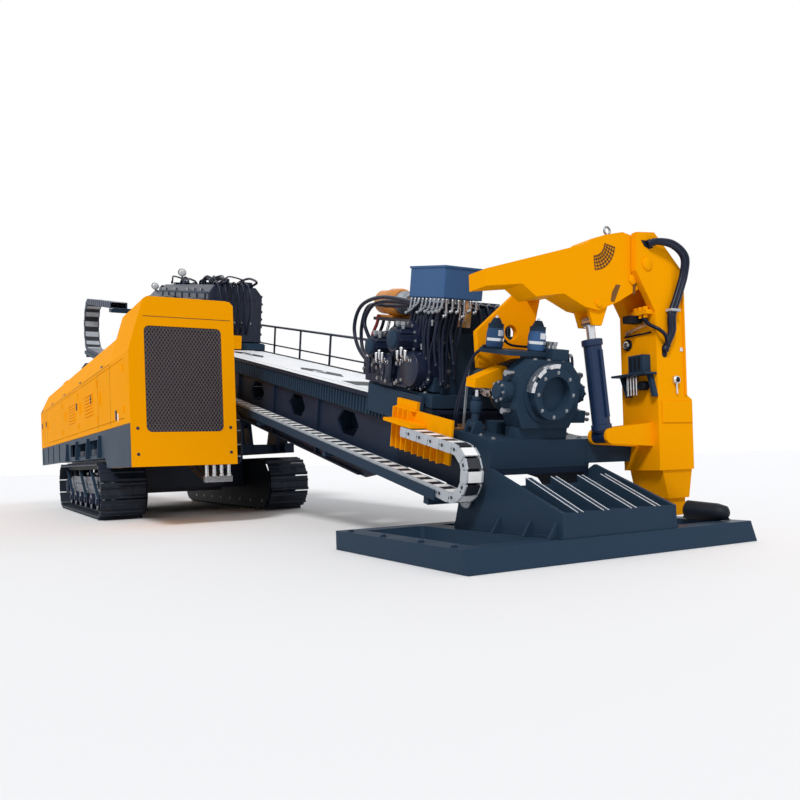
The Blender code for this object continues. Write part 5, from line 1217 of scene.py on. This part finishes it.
def boom_trim():
    """A fan of dark arcs, two slots as flat patches of painted shade, and pin caps on the boom's faces, and
    the eye on top.
    """
    orange, steel, seam = builders(
        "boom", WORLD, boom_plates="orange", boom_pins="dull_steel", boom_dial="seam")
    x, dial = 8.3002, (0.94, 2.64)
    skin = (x, x + 0.004)
    for i in range(5):
        radius = 0.15 + 0.028 * i
        seam.prism("x", skin, arc(dial, radius, -86, -9.2, 12) + arc(dial, radius - 0.011, -9.2, -86, 12))
    for k in range(10):
        c, s = polar(1, radians(-86 + 8.5 * k))
        ray = ((0.14, 0.004), (0.265, 0.004), (0.265, -0.004), (0.14, -0.004))
        seam.prism("x", skin, [(dial[0] + c * r - s * h, dial[1] + s * r + c * h) for r, h in ray])
    # the two slots: flat dark patches, painted shade where the boom has recesses
    seam.prism("x", skin, [(1.4, 2.2), (1.425, 2.2), (1.455, 2.33), (1.43, 2.345), (1.405, 2.3)])
    seam.prism("x", skin, [(1.13, 2.12), (1.17, 2.115), (1.25, 2.27), (1.2, 2.27), (1.15, 2.2)])
    seam.make()
    for y, z, radius in ((1.4, 2.33, 0.045), (0.99, 2.09, 0.035)):
        for near, far in ((x, x + 0.014), (x - 0.2402, x - 0.2542)):
            orange.cap((near, y, z), (far, y, z), radius, radius * 0.85)
    orange.make(bevel=0.003, segments=1)
    steel.turned((7.468, 0.84, 2.307), (7.4802, 0.84, 2.307), [(0, 0.04), (0.4, 0.055), (1, 0.06)], 20)
    turns = [Vector((0, a, b)) for a, b in circle(20, 1)]
    eye, axis = Vector((8.18, 1.232, 2.78)), Vector((1, 0, 0))
    steel.rings([round_ring(eye + out * 0.034, out, axis, 0.01, 8) for out in turns], closed=True)
    steel.cone((8.18, 1.232, 2.72), (8.18, 1.232, 2.752), 0.02, 0.014, 12)
    steel.make(smooth=60)


def cylinder_trim():
    """Glands, caps and pipes on the crane's, the mast's and the vise's cylinders."""
    gland = Builder("luff_gland", "luff_barrel", "navy", WORLD)
    foot, tip = Vector((8.18, 1.1, 0.94)), Vector((8.18, 0.99, 1.955))
    way = (tip - foot).normalized()
    gland.collar(foot + way * 0.8, foot + way * 0.862, 0.082, 0.092, 0.08)
    gland.collar(foot + way * 0.05, foot + way * 0.11, 0.082, 0.09, 0.082)
    pipe = [Vector((a, b, 0)) for a, b in ((0.104, 0.016), (0.104, -0.016), (0.072, -0.016), (0.072, 0.016))]
    gland.rings([[foot + way * t + corner for corner in pipe] for t in (0.17, 0.76)])
    gland.make(smooth=50)
    for side, y in (("right", 0.17), ("left", 0.93)):
        base, eye = Vector((-2.6, y, 1.26)), Vector((-4.133, y, 2.551))
        way = (eye - base).normalized()
        trim = Builder(f"lift_gland_{side}", "lift_barrels", "slate", WORLD)
        trim.collar(base + way * 1.38, base + way * 1.452, 0.088, 0.1, 0.085)
        trim.collar(base + way * 0.12, base + way * 0.18, 0.088, 0.095, 0.088)
        trim.make(smooth=50)
    small = Builder("breakout_gland", "breakout_barrel", "slate")
    small.collar((7.84, -0.46, 0.165), (7.84, -0.46, 0.2015), 0.037, 0.041, 0.036, 20)
    small.collar((7.84, -0.46, 0.06), (7.84, -0.46, 0.163), 0.044, 0.052, 0.044)
    small.make(smooth=50)


# Anchor

MAST_Y = 0.55
PIN_X, PIN_Z = 7.7369, 0.4367  # the axis that the anchor pitches on


def anchor_trim():
    """Pale strips along the ramps' edges, gussets, pin caps and bolt rows."""
    pins, edges, ribs = builders(
        "anchor", WORLD, anchor_pins="dull_steel", ramp_edges="pale", wedge_ribs="slate")
    for side in (-1, 1):
        y = MAST_Y + side * 0.622
        pins.cap((PIN_X, y, PIN_Z), (PIN_X, y + side * 0.03, PIN_Z), 0.085, 0.07, 28, shoulder=0.6)
        pins.bolt_circle((PIN_X, y + side * 0.022, PIN_Z), (0, side, 0), 0.062, 6, 0.01)
    pins.make()
    front, back, low = 8.935, 8.32, 0.3572
    ramp = ((front - 0.02, low), (back, low + (front - back) * tan(radians(22.5))))
    for v in (-0.44, -0.18, 0.11, 0.37):
        for y in (MAST_Y + v + 0.004, MAST_Y + v + 0.058):
            strip = ((y, 0), (y + 0.008, 0), (y + 0.008, 0.003), (y, 0.003))
            edges.rings([[(x, across, z + up) for across, up in strip] for x, z in ramp])
    edges.make()
    for side in (-1, 1):
        y = MAST_Y + side * 0.595
        for x in (8.15, 8.55, 8.85):
            ribs.prism("x", (x, x + 0.025), [(y, 0.1705), (y + side * 0.09, 0.1705), (y, 0.3)])
        ribs.box((7.55, 8.93), span(side, 0, 0.012, y), (0.1705, 0.19))
    ribs.bolt_grid((7.1, 7.7, 8.3, 8.75), (-0.88, 1.99), (0.17,), (0, 0, 1), 0.022, 0.018)
    ribs.make(bevel=0.003, segments=1)


# The whole machine

for track in TRACKS:
    crawler(*track)
undercarriage_trim()
hood_front()
flank()
louvres()
skirt_trim()
mast_rack()
deck_trim()
round_railing()
carrier("front", FRONT_CHAIN, 0.095, "chain_grey", "chain_white")
carrier("rear", REAR_CHAIN, 0.15, "chain_blue", "chain_grey")
vise_trim()
rear_vise_trim()
carriage_trim()
far_motors()
bracket_ribs()
spindle_trim()
rear_unit()
crane_trim()
boom_trim()
cylinder_trim()
anchor_trim()
for soft in (
    ("house_shell", "chassis", 0.022), ("crane_column", "mast", 0.014), ("crane_boom", "boom", 0.014),
    ("gearbox", "front_carriage", 0.012), ("power_box", "front_carriage", 0.012),
    ("anchor_plate", "anchor", 0.01), ("anchor_wedge", "anchor", 0.006), ("vise_bed", "mast", 0.012),
    ("rod_jaw", "jaw", 0.008), ("rear_power_pack", "rear_carriage", 0.02), ("front_vise", "mast", 0.008),
):
    softened(*soft)
